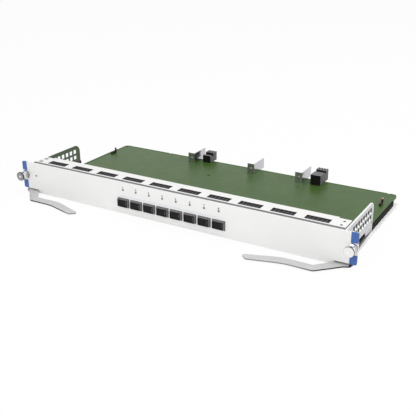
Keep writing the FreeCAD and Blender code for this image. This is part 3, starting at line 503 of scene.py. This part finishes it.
squares = {"distance": "CHEBYCHEV", "voronoi_dimensions": "2D"}
cell_colour = board.node("ShaderNodeTexVoronoi", squares,
                         {"Vector": board.place(), "Scale": 1 / BUNDLE, "Randomness": 0.8},
                         "Color")
choice, filled = (board.node("ShaderNodeSeparateColor", inputs={0: cell_colour}, output=channel)
                  for channel in ("Red", "Green"))
lengthwise = choice.math("GREATER_THAN", 0.5)
bundled = filled.math("GREATER_THAN", BARE_SHARE)
tracks = (line_mask(board.along("Y")) * lengthwise
          + line_mask(board.along("X")) * (1 - lengthwise)) * bundled
mask_tone = board.mottled(60 * MM, 4, rgb(0.040, 0.092, 0.014), rgb(0.054, 0.110, 0.022))
board.drive(Base_Color=board.colours(tracks * 0.5, mask_tone, rgb(0.070, 0.135, 0.032)),
            Roughness=board.noise(10 * MM, 3).spread(0.28, 0.4))
board.relief(tracks + board.noise(2 * MM, 2) * 0.4, 0.03 * MM)
print("board with tracks every", TRACK_PITCH / MM, "mm in bundles of", BUNDLE / MM, "mm")

# %% [markdown]
# ## Finishes for the frame
# The record names a material slot for each CAD node, and the finishes so far carry those names.
# The first look at the dressed card therefore takes no more than a loop.

# %% Give every CAD node its finish
for name, node in nodes.items():
    for slot in node.material_slots:
        slot.material = finishes[slot_of[name]].material
print(len(finishes), "finishes on", len(nodes), "nodes")

# %% [markdown]
# ## Rounded edges
# No real edge is sharp: sheet is deburred, plastic is moulded with a radius, and turned parts
# are chamfered. Those narrow rounds catch the light as thin bright lines. A Bevel modifier
# could do it, but the frame's own meshes are loose triangles, so a copy is first joined into
# clean flat faces and then bevelled, and stands for its node. One table holds the radii in
# millimetres, for each kind of piece.

# %% Radii of the edges
SIDES = ("left", "right")
EDGE_RADII = {
    "front_panel": 0.25, "bottom_tray": 0.2, "flange_gasket": 0.2, "top_vent_flange": 0.18,
    "vent_screen": 0.1, "side_bracket": 0.15, "edge_rail": 0.15, "upper_ear_cap": 0.35,
    "lower_ear_cap": 0.35, "ejector_lever": 0.25, "lever_pin": 0.2, "screw_ferrule": 0.25,
    "screw_washer": 0.05, "thumb_screw": 0.18, "circuit_board": 0.08, "board_screws": 0.3,
    "board_standoffs": 0.2, "wall_screws": 0.3, "guide_bracket": 0.15, "guide_screws": 0.3,
    "rear_connector": 0.2, "clip_base": 0.15, "clip_leaf": 0.1, "port_cage": 0.1,
    "light_pipe_bar": 0.12, "status_light_pipe": 0.12}


def radius_of(name):
    """The radius of a node's edges, found by its name without its side or number."""
    kind = "_".join(word for word in name.split("_")
                    if word not in (*SIDES, "middle") and not word.isdigit())
    return EDGE_RADII[kind] * MM


print(len(EDGE_RADII), "kinds of pieces with rounded edges")

# %% Joined and rounded copies
JOIN_DISTANCE = 0.002 * MM
FLAT_ANGLE = math.radians(1)
EDGE_ANGLE = math.radians(30)


def copy_of(name):
    """A node's mesh with its loose triangles joined into flat faces."""
    form = bmesh.new()
    form.from_mesh(nodes[name].data)
    bmesh.ops.remove_doubles(form, verts=form.verts, dist=JOIN_DISTANCE)
    bmesh.ops.dissolve_limit(form, angle_limit=FLAT_ANGLE, verts=form.verts, edges=form.edges)
    return form


def round_off(form, radius, segments=2):
    """Rounds every sharp edge of a form."""
    sharp = [edge for edge in form.edges
             if len(edge.link_faces) == 2 and edge.calc_face_angle(0) > EDGE_ANGLE]
    bmesh.ops.bevel(form, geom=sharp, offset=radius, offset_type="OFFSET", affect="EDGES",
                    segments=segments, profile=0.5, material=-1, clamp_overlap=True)
    return len(sharp)


print("edges sharper than", round(math.degrees(EDGE_ANGLE)), "degrees are rounded")

# %% Forms become pieces
SHARP_ANGLE = math.radians(48)


def add_piece(name, form, slot, body, stands_for=None, finish=None):
    """Makes a form a piece that rides on a body, in its slot's finish or in another one."""
    mesh = bpy.data.meshes.new(name)
    form.to_mesh(mesh)
    form.free()
    mesh.polygons.foreach_set("use_smooth", [True] * len(mesh.polygons))
    mesh.set_sharp_from_angle(angle=SHARP_ANGLE)
    mesh.materials.append(finishes[finish or slot].material)
    piece = bpy.data.objects.new(name, mesh)
    bpy.context.scene.collection.objects.link(piece)
    weighted = piece.modifiers.new("even_shading", "WEIGHTED_NORMAL")
    weighted.keep_sharp = True
    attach(piece, body)
    if stands_for:
        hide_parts(stands_for)
    return piece


def rounded_copy(name, shape=None, finish=None):
    """A copy of a node with rounded edges, standing for it. It may be shaped first."""
    form = copy_of(name)
    if shape:
        shape(form)
    count = round_off(form, radius_of(name))
    piece = add_piece(f"{name}_rounded", form, slot_of[name], nodes[name]["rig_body"], name,
                      finish)
    print(f"{name}: {count} edges, {len(piece.data.polygons)} faces")
    return piece


def second_finish(piece, name, chosen):
    """Gives one more finish to the faces of a piece that a rule chooses."""
    index = len(piece.data.materials)
    piece.data.materials.append(finishes[name].material)
    for face in piece.data.polygons:
        if chosen(face.normal, face.center):
            face.material_index = index


print("forms can become pieces")

# %% [markdown]
# ## The plain pieces
# Most of the sheet and the small turned parts need nothing but their rounded edges. The face is
# painted dark behind, painted shade for the slots and tabs there, which light hardly reaches,
# and the ribs of the vent screen are painted lighter on top, a painted highlight. Each of those
# is a second finish on the faces that a simple rule picks.

# %% Plain pieces
TOUCH, NEAR = 0.05 * MM, 0.2 * MM
RIB_CAP = 0.3 * MM
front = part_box("front_panel")[0].y
face_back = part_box("flange_gasket")[0].y
rib_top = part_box("vent_screen")[1].z
panel = rounded_copy("front_panel")
# painted shade: the faces behind the face's back take dark steel
second_finish(panel, "dark_steel", lambda normal, spot: spot.y > face_back + TOUCH)
# the tray takes the whiter coat, painted light against its shade
rounded_copy("bottom_tray", finish="tray_white")
for name in ("flange_gasket", "light_pipe_bar", "status_light_pipe", "wall_screws",
             "board_screws", "board_standoffs"):
    rounded_copy(name)
rounded_copy("guide_screws", finish="dull_nickel_and_painted_shade")
screen = rounded_copy("vent_screen", finish="screen_black")
# painted highlight: the tops of the screen's ribs are painted lighter
second_finish(screen, "painted_highlight_black", lambda normal, spot: spot.z > rib_top - RIB_CAP)

# %% [markdown]
# ## The board's bare margin, and painted shade behind the flange
# Copper planes stop a few millimetres short of a board's edge. The bare mask there is less
# glossy, and without the mirrored sky its green looks deeper. Gloss of that kind is one fixed
# number of a shader, which no mask can change, so the copy of the board is cut along the margin's
# lines at its left and its rear. It is cut behind the flange too, where the same darker green
# is painted shade from the flange.

# %% Cuts by planes


def cut(form, place, normal, clear=False):
    """Cuts a form by a plane, and closes it again where the far side is cleared away."""
    geometry = form.verts[:] + form.edges[:] + form.faces[:]
    made = bmesh.ops.bisect_plane(form, geom=geometry, dist=JOIN_DISTANCE, plane_co=place,
                                  plane_no=normal, clear_outer=clear)["geom_cut"]
    if clear:
        edges = [part for part in made if isinstance(part, bmesh.types.BMEdge)]
        bmesh.ops.holes_fill(form, edges=edges, sides=0)


def beyond(spot, planes):
    """True where a place lies past any of the planes."""
    return any((spot - place).dot(outward) > 0 for place, outward in planes)


print("a plane is a place on it and its outward direction")

# %% Board with its margin
MARGIN = 3.0 * MM
board_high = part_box("circuit_board")[1]
flange_low, flange_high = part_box("top_vent_flange")
margin_and_shade_planes = ((Vector((MARGIN - board_high.x, 0, 0)), Vector((-1, 0, 0))),
                 (Vector((0, board_high.y - MARGIN, 0)), Vector((0, 1, 0))),
                 # painted shade: a strip behind the flange takes the margin's darker green
                 (Vector((0, flange_high.y + MARGIN, 0)), Vector((0, -1, 0))))
bare = Finish("board_margin", Roughness=0.5, Specular_IOR_Level=0.04)
bare.drive(
    Base_Color=bare.mottled(10 * MM, 3, rgb(0.060, 0.122, 0.036), rgb(0.078, 0.148, 0.048)))


def shape_board(form):
    """Cuts the board along its margin and along the strip of painted shade behind the flange."""
    for place, outward in margin_and_shade_planes:
        cut(form, place, outward)


card_board = rounded_copy("circuit_board", shape_board)
# the margin, and the painted shade behind the flange, take the darker green
second_finish(card_board, "board_margin", lambda normal, spot: beyond(spot, margin_and_shade_planes))
print("margin", MARGIN / MM, "mm wide")

# %% [markdown]
# ## The vented flange
# The ten openings show as clean dark shapes: their punched walls are painted as dark as the
# screen below, painted shade for their depth. A line of painted shade runs along the flange's
# front, in the gasket's colour, and along its ends, where it meets the side walls, in dark steel.
# The copy is cut along the front strip, so that it is faces of its own and takes its own finish.

# %% Flange
FRONT_SHADE_LINE = flange_low.y + 1.5 * MM
VENT_FRONT, VENT_REAR = front + 9.0 * MM, front + 17.0 * MM
VENT_EASE, VENT_END = 0.8 * MM, flange_high.x - 5 * MM


def shape_flange(form):
    """Eases the openings forward and splits off the strip of painted shade at the front."""
    edge = [vert for vert in form.verts if abs(vert.co.y - VENT_FRONT) < TOUCH]
    bmesh.ops.translate(form, verts=edge, vec=(0, -VENT_EASE, 0))
    cut(form, (0, FRONT_SHADE_LINE, 0), (0, 1, 0))


def in_vent(normal, spot):
    """True on the walls of the openings."""
    return (abs(normal.z) < 0.8 and VENT_FRONT - VENT_EASE - NEAR < spot.y < VENT_REAR + NEAR
            and abs(spot.x) < VENT_END)


flange = rounded_copy("top_vent_flange", shape_flange)
# painted shade: the walls of the openings are as dark as the screen
second_finish(flange, "screen_black", in_vent)
# painted shade: the flange's front strip in the gasket's colour
second_finish(flange, "dark_gasket", lambda normal, spot: spot.y < FRONT_SHADE_LINE and normal.z > -0.5)
# painted shade: the flange's ends in dark steel, where they meet the side walls
second_finish(flange, "dark_steel",
              lambda normal, spot: abs(spot.x) > flange_high.x - NEAR and spot.y > FRONT_SHADE_LINE)
print("flange with", sum(face.material_index == 1 for face in flange.data.polygons),
      "dark faces in its openings")

# %% [markdown]
# ## The side walls
# The polished walls are the brightest metal on the card. Their top rear corner is a wide round,
# and a light band runs along the top and rear edges: a painted highlight on every face that
# looks up or back, and on a band of the outer side. The walls of the small windows that look
# forward are painted dark green, painted shade that widens the dark look through them, and
# their sills slope and take the same painted highlight. Planes that touch a circle trim the
# corner, and the same planes set in further mark off the band.

# %% Corner of the walls
WALL_TRIM, WALL_ROUND, WALL_BAND = 0.9 * MM, 8.5 * MM, 0.7 * MM
CORNER_STEPS = 9
wall_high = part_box("right_side_bracket")[1]
round_centre = Vector((0, wall_high.y - WALL_ROUND, wall_high.z - WALL_TRIM - WALL_ROUND))


def corner_planes(radius):
    """Planes that touch a circle round the corner's centre, from the rear edge to the top."""
    planes = []
    for step in range(CORNER_STEPS + 1):
        angle = math.radians(90 * step / CORNER_STEPS)
        outward = Vector((0, math.cos(angle), math.sin(angle)))
        planes.append((round_centre + outward * radius, outward))
    return planes


band_planes = corner_planes(WALL_ROUND - WALL_BAND)
print("corner of", WALL_ROUND / MM, "mm in", CORNER_STEPS, "steps")

# %% Side walls
WINDOW_TOPS = ((28.2 * MM, 0.8 * MM), (21.2 * MM, 0.4 * MM))
WINDOW_SILLS, SILL_RISE = (22.8 * MM, 15.8 * MM), 1.6 * MM
WINDOW_START, WINDOW_LOW, WINDOW_HIGH = front + 20 * MM, 15 * MM, 30 * MM
INNER_SIDE, WALL_SHEET = wall_high.x - 1 * MM, wall_high.x - 2 * MM


def shape_wall(form):
    """Shapes the windows, trims the corner and splits off the band."""
    for sill in WINDOW_SILLS:
        inner = [vert for vert in form.verts if abs(vert.co.z - sill) < TOUCH
                 and abs(vert.co.x) < INNER_SIDE and vert.co.y > WINDOW_START]
        bmesh.ops.translate(form, verts=inner, vec=(0, 0, SILL_RISE))
    for top, rise in WINDOW_TOPS:
        edge = [vert for vert in form.verts
                if abs(vert.co.z - top) < TOUCH and abs(vert.co.x) > WALL_SHEET]
        bmesh.ops.translate(form, verts=edge, vec=(0, 0, rise))
    for place, outward in corner_planes(WALL_ROUND)[1:]:
        cut(form, place, outward, clear=True)
    for place, outward in band_planes:
        cut(form, place, outward)


def in_window(normal, spot):
    """True on the walls of the windows that look forward."""
    return (normal.y < -0.5 and WINDOW_LOW < spot.z < WINDOW_HIGH and spot.y > WINDOW_START)


for side, outside in zip(SIDES, (-1, 1)):
    wall = rounded_copy(f"{side}_side_bracket", shape_wall)
    # painted highlight: faces that look up or back, and a band of the outer side
    second_finish(wall, "bright_edge", lambda normal, spot: (
        normal.z > 0.5 or normal.y > 0.5
        or normal.x * outside > 0.1 and beyond(spot, band_planes)))
    # painted shade: the window walls that look forward are dark green
    second_finish(wall, "window_painted_shade", in_window)
print("two side walls")

# %% [markdown]
# ## Rails, clips and caps
# The rest of the side pieces are rounded copies too. The rails flare out where they end behind
# the face, and that flank is painted shade, grey at its foot and black above, a dark sheet where
# the tray lies in shade. The leaf of the right-hand clip is dark with a red ring, and its pale
# tip is a painted highlight. Both finishes change with height alone, so a ramp or a step on Z
# says it. The ferrules are painted dull on the side that looks to the right, painted shade, and
# the rear connectors are painted lighter on top and at their ends, painted highlights. The
# guide brackets and the cages of the ports need their rounded edges only.

# %% Finishes that change with height
FLANK_GREY, FLANK_BLACK = 2.0 * MM, 6.0 * MM
CLIP_RING, CLIP_TIP = 10.9 * MM, 12.1 * MM
# painted shade: the rail's flank is grey at its foot and black above
flank = Finish("rail_flank", Roughness=0.6, Specular_IOR_Level=0.1)
flank_foot = flank.mottled(3 * MM, 3, rgb(0.17, 0.165, 0.17), rgb(0.23, 0.225, 0.23))
flank.drive(Base_Color=flank.colours(ramp(flank.along("Z"), FLANK_GREY, FLANK_BLACK),
                                     flank_foot, rgb(0.005, 0.005, 0.006)))
tipped = Finish("tipped_clip", Roughness=0.5, Specular_IOR_Level=0.15)
leaf_height = tipped.along("Z")
stem = tipped.mottled(2 * MM, 2, rgb(0.012, 0.01, 0.01), rgb(0.03, 0.022, 0.02))
ringed = tipped.colours(leaf_height.math("GREATER_THAN", CLIP_RING), stem,
                        rgb(0.30, 0.05, 0.045))
# painted highlight: the pale colour above CLIP_TIP
tipped.drive(Base_Color=tipped.colours(leaf_height.math("GREATER_THAN", CLIP_TIP), ringed,
                                       rgb(0.62, 0.66, 0.58)))
print("rail flank and tipped clip")

# %% Side pieces
RAIL_FLARE = ((front + 27 * MM, 2.4 * MM), (front + 60 * MM, 0.7 * MM))
RAIL_STRAIGHT = front + 83 * MM
rail_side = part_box("right_edge_rail")[1].x


def flare_rail(form):
    """Moves the outer side of the rail's front part outwards, more towards its end."""
    for place in (RAIL_FLARE[1][0], RAIL_STRAIGHT):
        cut(form, (0, place, 0), (0, 1, 0))
    reach = max(abs(vert.co.x) for vert in form.verts)
    for place, width in RAIL_FLARE:
        outer = [vert for vert in form.verts
                 if abs(vert.co.y - place) < TOUCH and abs(vert.co.x) > reach - TOUCH]
        sign = math.copysign(1, outer[0].co.x)
        bmesh.ops.translate(form, verts=outer, vec=(sign * width, 0, 0))


for side in SIDES:
    for kind in ("upper_ear_cap", "lower_ear_cap", "lever_pin", "screw_washer", "clip_base"):
        rounded_copy(f"{side}_{kind}")
    # the right leaf carries a painted highlight at its tip
    rounded_copy(f"{side}_clip_leaf", finish="tipped_clip" if side == "right" else None)
    collar = rounded_copy(f"{side}_screw_ferrule")
    # painted shade: the ferrule's side that looks right is painted dull
    second_finish(collar, "dull_nickel_and_painted_shade", lambda normal, spot: normal.x > 0.45)
    # the flared flank is a dark sheet standing in for the shade over the tray there
    rail = rounded_copy(f"{side}_edge_rail", flare_rail, "rail_black")
    second_finish(rail, "rail_flank", lambda normal, spot: (
        abs(spot.x) > rail_side + NEAR and spot.y < RAIL_STRAIGHT))
    socket = rounded_copy(f"{side}_rear_connector")
    # painted highlight: the connector's top is painted lighter
    second_finish(socket, "painted_highlight_black", lambda normal, spot: normal.z > 0.7)
    # painted highlight: the connector's ends are painted lighter
    second_finish(socket, "painted_sidelight_black", lambda normal, spot: abs(normal.x) > 0.7)

# %% Guide brackets and port cages
PORTS = range(1, 9)
for side in (*SIDES, "middle"):
    rounded_copy(f"{side}_guide_bracket")
for port in PORTS:
    rounded_copy(f"port_cage_{port}")

# %% [markdown]
# ## Levers with dark edges
# The lever copies are rounded like the rest, and their faces that look sideways take the
# sheared edge. The claw at the outer end is dark all round. The flat top where the lever lies
# in the slot under the face is painted dark as well, painted shade where light hardly reaches.
# The copy is cut at both places, so that the finishes meet in a clean line.

# %% Levers
CLAW_START = 190.4 * MM
SLOT_SHADE = front + 1.0 * MM
FLAT = 0.35


def split_claw(form):
    """Cuts the lever's flat faces where the claw begins and where the slot hides them."""
    for sign in (-1, 1):
        cut(form, (sign * CLAW_START, 0, 0), (sign, 0, 0))
    cut(form, (0, SLOT_SHADE, 0), (0, 1, 0))


for side in SIDES:
    lever = rounded_copy(f"{side}_ejector_lever", split_claw)
    second_finish(lever, "lever_sheared_edge",
                  lambda normal, spot: abs(normal.z) < FLAT or abs(spot.x) > CLAW_START)
    # painted shade: the lever's top inside the slot under the face takes dark steel
    second_finish(lever, "dark_steel", lambda normal, spot: (
        normal.z > FLAT and spot.y > SLOT_SHADE and abs(spot.x) < CLAW_START))

# %% [markdown]
# ## Dust plugs
# Each port is closed by a black plug. Its tapered head has rounded corners and a shallow square
# dish in its front, with a low pad in the middle, so that it can be gripped. A stack of upright
# plates with rounded corners, one behind the other, is bridged into one skin. That gives the
# small radii of the mould at once, while bevels on so many short edges would collide. A row of
# the table is a plate: its depth behind the head's front, how far it is set in at the sides and
# at top and bottom, and the radius of its corners, all in millimetres. Two plates at one depth
# give a bridge no direction, so the stack is drawn apart for it and pushed together again.

# %% Plates of a plug
PLUG_PLATES = ((0.30, 3.20, 3.05, 0.2), (0.50, 3.00, 2.85, 0.2), (0.50, 2.20, 2.05, 0.5),
               (0.10, 2.00, 1.85, 0.6), (0.00, 1.90, 1.75, 0.6), (0.00, 1.15, 1.00, 0.9),
               (0.08, 1.00, 0.86, 0.9), (0.30, 0.90, 0.76, 0.9), (2.45, 0.03, 0.03, 0.9),
               (2.65, 0.00, 0.00, 0.9), (4.40, 0.00, 0.00, 0.9), (4.50, 0.10, 0.10, 0.9))
SHANK_ENDS, SHANK_ROUND = (4.50, 14.50), 0.3
SHANK_SIDES, SHANK_FOOT, SHANK_TOP = 0.70, 0.05, 0.75
CORNER_CUTS = 4
APART = 1 * MM


def rounded_plate(form, low, high, radius):
    """An upright face with rounded corners, at the depth of its low corner."""
    before = set(form.faces)
    size = high - low
    place = (Matrix.Translation((low.x + size.x / 2, low.y, low.z + size.z / 2))
             @ Matrix.Rotation(math.radians(90), 4, "X")
             @ Matrix.Diagonal((size.x, size.z, 1, 1)))
    corners = bmesh.ops.create_grid(form, x_segments=1, y_segments=1, size=0.5, matrix=place)
    bmesh.ops.bevel(form, geom=corners["verts"], offset=radius, offset_type="OFFSET",
                    affect="VERTICES", segments=CORNER_CUTS, profile=0.5, material=-1,
                    clamp_overlap=True)
    return next(face for face in form.faces if face not in before)


def spaced(form, corners, gap):
    """Moves each plate's corners back by one gap more than those of the plate before."""
    for step, spots in enumerate(corners):
        bmesh.ops.translate(form, verts=spots, vec=(0, step * gap, 0))


def skin(form, plates):
    """Bridges a stack of plates into one closed form."""
    rings = [list(plate.edges) for plate in plates]
    corners = [list(plate.verts) for plate in plates]
    bmesh.ops.delete(form, geom=plates[1:-1], context="FACES_ONLY")
    spaced(form, corners, APART)
    for one, two in zip(rings, rings[1:]):
        bmesh.ops.bridge_loops(form, edges=one + two)
    spaced(form, corners, -APART)
    bmesh.ops.recalc_face_normals(form, faces=form.faces)


print(len(PLUG_PLATES) + len(SHANK_ENDS), "plates to a plug")

# %% [markdown]
# ## Light on the plugs
# The plugs are edged with light grey on the right and along the top, where the tapers of the
# head catch the soft box. That light is painted: those faces take a second, lighter finish, a
# painted highlight on the black plastic.

# %% Dust plugs
PLUG_HEAD, LIT_RIGHT, LIT_TOP = 2.6 * MM, 4 * MM, 3 * MM
for port in PORTS:
    name = f"port_plug_{port}"
    low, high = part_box(name)
    form = bmesh.new()
    plates = [rounded_plate(form, low + Vector((inset, depth, rise)) * MM,
                            high - Vector((inset, 0, rise)) * MM, radius * MM)
              for depth, inset, rise, radius in PLUG_PLATES]
    for depth in SHANK_ENDS:
        plates.append(rounded_plate(form, low + Vector((SHANK_SIDES, depth, SHANK_FOOT)) * MM,
                                    high - Vector((SHANK_SIDES, 0, SHANK_TOP)) * MM,
                                    SHANK_ROUND * MM))
    skin(form, plates)
    plug = add_piece(f"{name}_rounded", form, "black_plastic", "card", name)
    middle = (low + high) / 2
    # painted highlight: the head's right and top tapers are painted lighter
    second_finish(plug, "painted_highlight_black", lambda normal, spot: (
        normal.y > -0.9 and spot.y < low.y + PLUG_HEAD
        and (normal.x > 0.2 and spot.x > middle.x + LIT_RIGHT
             or normal.z > 0.2 and spot.z > middle.z + LIT_TOP)))
print(len(PORTS), "plugs with dished heads,", len(plug.data.polygons), "faces each")

# %% [markdown]
# ## Thumb screws
# The disc of a captive screw is knurled, so that fingers hold it. On the rounded copy each
# narrow face of the disc's rim is inset and pushed inwards, which cuts one groove a face. The
# knurled rim is darker towards the front, and the left screw's front is painted dull, painted
# shade on its plating.

# %% Thumb screws
KNURL_EDGE, KNURL_DEPTH = 0.07 * MM, 0.14 * MM
KNURLED, RIM_START, DISC_FRONT = 1.65 * MM, 4.4 * MM, 0.3 * MM
RIM_REACH = 0.1 * MM


def off_axis(spot, axis):
    """How far a place lies from a screw's axis, which runs along Y."""
    return math.hypot(spot.x - axis.x, spot.z - axis.z)


def rim_faces(form, axis):
    """Faces of the widest turned surface, which look away from the axis."""
    reach = {face: off_axis(face.calc_center_median(), axis) for face in form.faces}
    widest = max(reach.values())
    return [face for face in form.faces
            if abs(face.normal.y) < 0.01 and reach[face] > widest - RIM_REACH]


for side in SIDES:
    name = f"{side}_thumb_screw"
    low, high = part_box(name)
    middle = (low + high) / 2
    form = copy_of(name)
    round_off(form, radius_of(name))
    rim = rim_faces(form, middle)
    bmesh.ops.inset_individual(form, faces=rim, thickness=KNURL_EDGE, depth=-KNURL_DEPTH)
    screw = add_piece(f"{name}_rounded", form, "nickel", nodes[name]["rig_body"], name)
    if side == "left":
        # painted shade: the left screw's front is painted dull
        second_finish(screw, "dull_nickel_and_painted_shade", lambda normal, spot: (
            normal.y < -0.5 and spot.y < low.y + DISC_FRONT))
    # the knurled rim is darker towards the front
    second_finish(screw, "darkened_nickel", lambda normal, spot: (
        spot.y < low.y + KNURLED and off_axis(spot, middle) > RIM_START))
    print(name, "with", len(rim), "grooves")

# %% [markdown]
# ## Marks on the face
# Plain port numbers stand over the ports, and a pale blue line ties the port row together. The
# numbers are text objects turned into meshes, because a finished piece keeps its place in its
# mesh. Along the foot of the face runs the strip where the sheet is folded under.

# %% Port numbers
PRINT = 0.02 * MM
FIRST_PORT, PORT_PITCH = -56.23 * MM, 16.28 * MM
NUMBER_HEIGHT, NUMBER_SIZE, BOLD = 28.3 * MM, 3.0 * MM, 0.13 * MM
INK_CLOUD = 0.6 * MM
grey_ink = Finish("grey_ink", Roughness=0.5)
grey_ink.drive(
    Base_Color=grey_ink.mottled(INK_CLOUD, 3, rgb(0.13, 0.13, 0.14), rgb(0.2, 0.2, 0.21)))


def add_number(form, number, across):
    """Adds one printed number to a form, standing on the face."""
    curve = bpy.data.curves.new("number", "FONT")
    curve.body = str(number)
    curve.size = NUMBER_SIZE
    curve.align_x = "CENTER"
    curve.extrude = PRINT
    curve.offset = BOLD
    curve.resolution_u = 4
    words = bpy.data.objects.new("number", curve)
    bpy.context.scene.collection.objects.link(words)
    bpy.context.view_layer.update()
    mesh = bpy.data.meshes.new_from_object(words)
    mesh.transform(Matrix.Translation((across, front, NUMBER_HEIGHT))
                   @ Matrix.Rotation(math.radians(90), 4, "X"))
    form.from_mesh(mesh)
    bpy.data.objects.remove(words)


form = bmesh.new()
for port in PORTS:
    add_number(form, port, FIRST_PORT + PORT_PITCH * (port - 1))
numbers = add_piece("port_numbers", form, "white_paint", "card", finish="grey_ink")
print("port numbers:", len(numbers.data.polygons), "faces")

# %% Strips on the face
ROW_LINE = (-57.3, 55.0, 19.8, 20.05)
FOLD_LINE, FOLD_STAND = (-173.0, 173.0, 0.3, 2.6), 0.1 * MM
blue_ink = Finish("blue_ink", Roughness=0.5)
blue_ink.drive(
    Base_Color=blue_ink.mottled(INK_CLOUD, 3, rgb(0.42, 0.58, 0.86), rgb(0.5, 0.66, 0.9)))


def strip(name, place, stand, finish=None):
    """A thin strip on the face. Its place is left, right, low and high in millimetres."""
    left, right, low, high = (value * MM for value in place)
    form = bmesh.new()
    size = (right - left, stand * 2, high - low)
    centre = Vector(((left + right) / 2, front, (low + high) / 2))
    bmesh.ops.create_cube(form, size=1, matrix=Matrix.Translation(centre)
                          @ Matrix.Diagonal((*size, 1)))
    round_off(form, stand * 0.6, 1)
    add_piece(name, form, "white_paint", "card", finish=finish)


strip("port_row_line", ROW_LINE, PRINT, "blue_ink")
strip("face_fold_line", FOLD_LINE, FOLD_STAND)
print("two strips")

# %% [markdown]
# ## Dimples of the flange
# Near each end of the flange two clinched dimples join it to the bracket below. Each is a
# shallow dish with a small stud in its middle. A turned profile makes both at once. The left
# dimples show bare dull metal, and the right ones a dark stud in a white dish. The profile
# gives radius and height in millimetres.

# %% Dimples
DIMPLE_ACROSS, DIMPLE_BACK = 177.0 * MM, (10.2 * MM, 18.8 * MM)
DIMPLE_PROFILE = ((2.6, 0.0), (2.45, 0.09), (2.2, 0.09), (1.8, 0.02), (1.35, 0.02), (1.2, 0.1),
                  (0.0, 0.12))
DIMPLE_STEPS = 32
DISH_RADIUS, STUD_RADIUS = 2.46 * MM, 1.4 * MM


def turned(form, profile, centre):
    """Spins a profile about an upright axis through a centre."""
    spots = [form.verts.new(centre + Vector((radius * MM, 0, height * MM)))
             for radius, height in profile]
    edges = [form.edges.new(pair) for pair in zip(spots, spots[1:])]
    bmesh.ops.spin(form, geom=spots + edges, cent=centre, axis=(0, 0, 1), steps=DIMPLE_STEPS,
                   angle=math.tau, use_merge=True)
    bmesh.ops.remove_doubles(form, verts=form.verts, dist=JOIN_DISTANCE)


def from_stud(spot):
    """How far a place lies from the nearest dimple's middle."""
    return min(math.hypot(abs(spot.x) - DIMPLE_ACROSS, spot.y - front - back)
               for back in DIMPLE_BACK)


form = bmesh.new()
for sign in (-1, 1):
    for back in DIMPLE_BACK:
        turned(form, DIMPLE_PROFILE,
               Vector((sign * DIMPLE_ACROSS, front + back, flange_high.z)))
bmesh.ops.recalc_face_normals(form, faces=form.faces)
dimples = add_piece("flange_dimples", form, "white_paint", "card")
second_finish(dimples, "dull_nickel_and_painted_shade",
              lambda normal, spot: spot.x < 0 and from_stud(spot) < DISH_RADIUS)
second_finish(dimples, "darkened_nickel",
              lambda normal, spot: spot.x > 0 and from_stud(spot) < STUD_RADIUS)
print("four dimples")
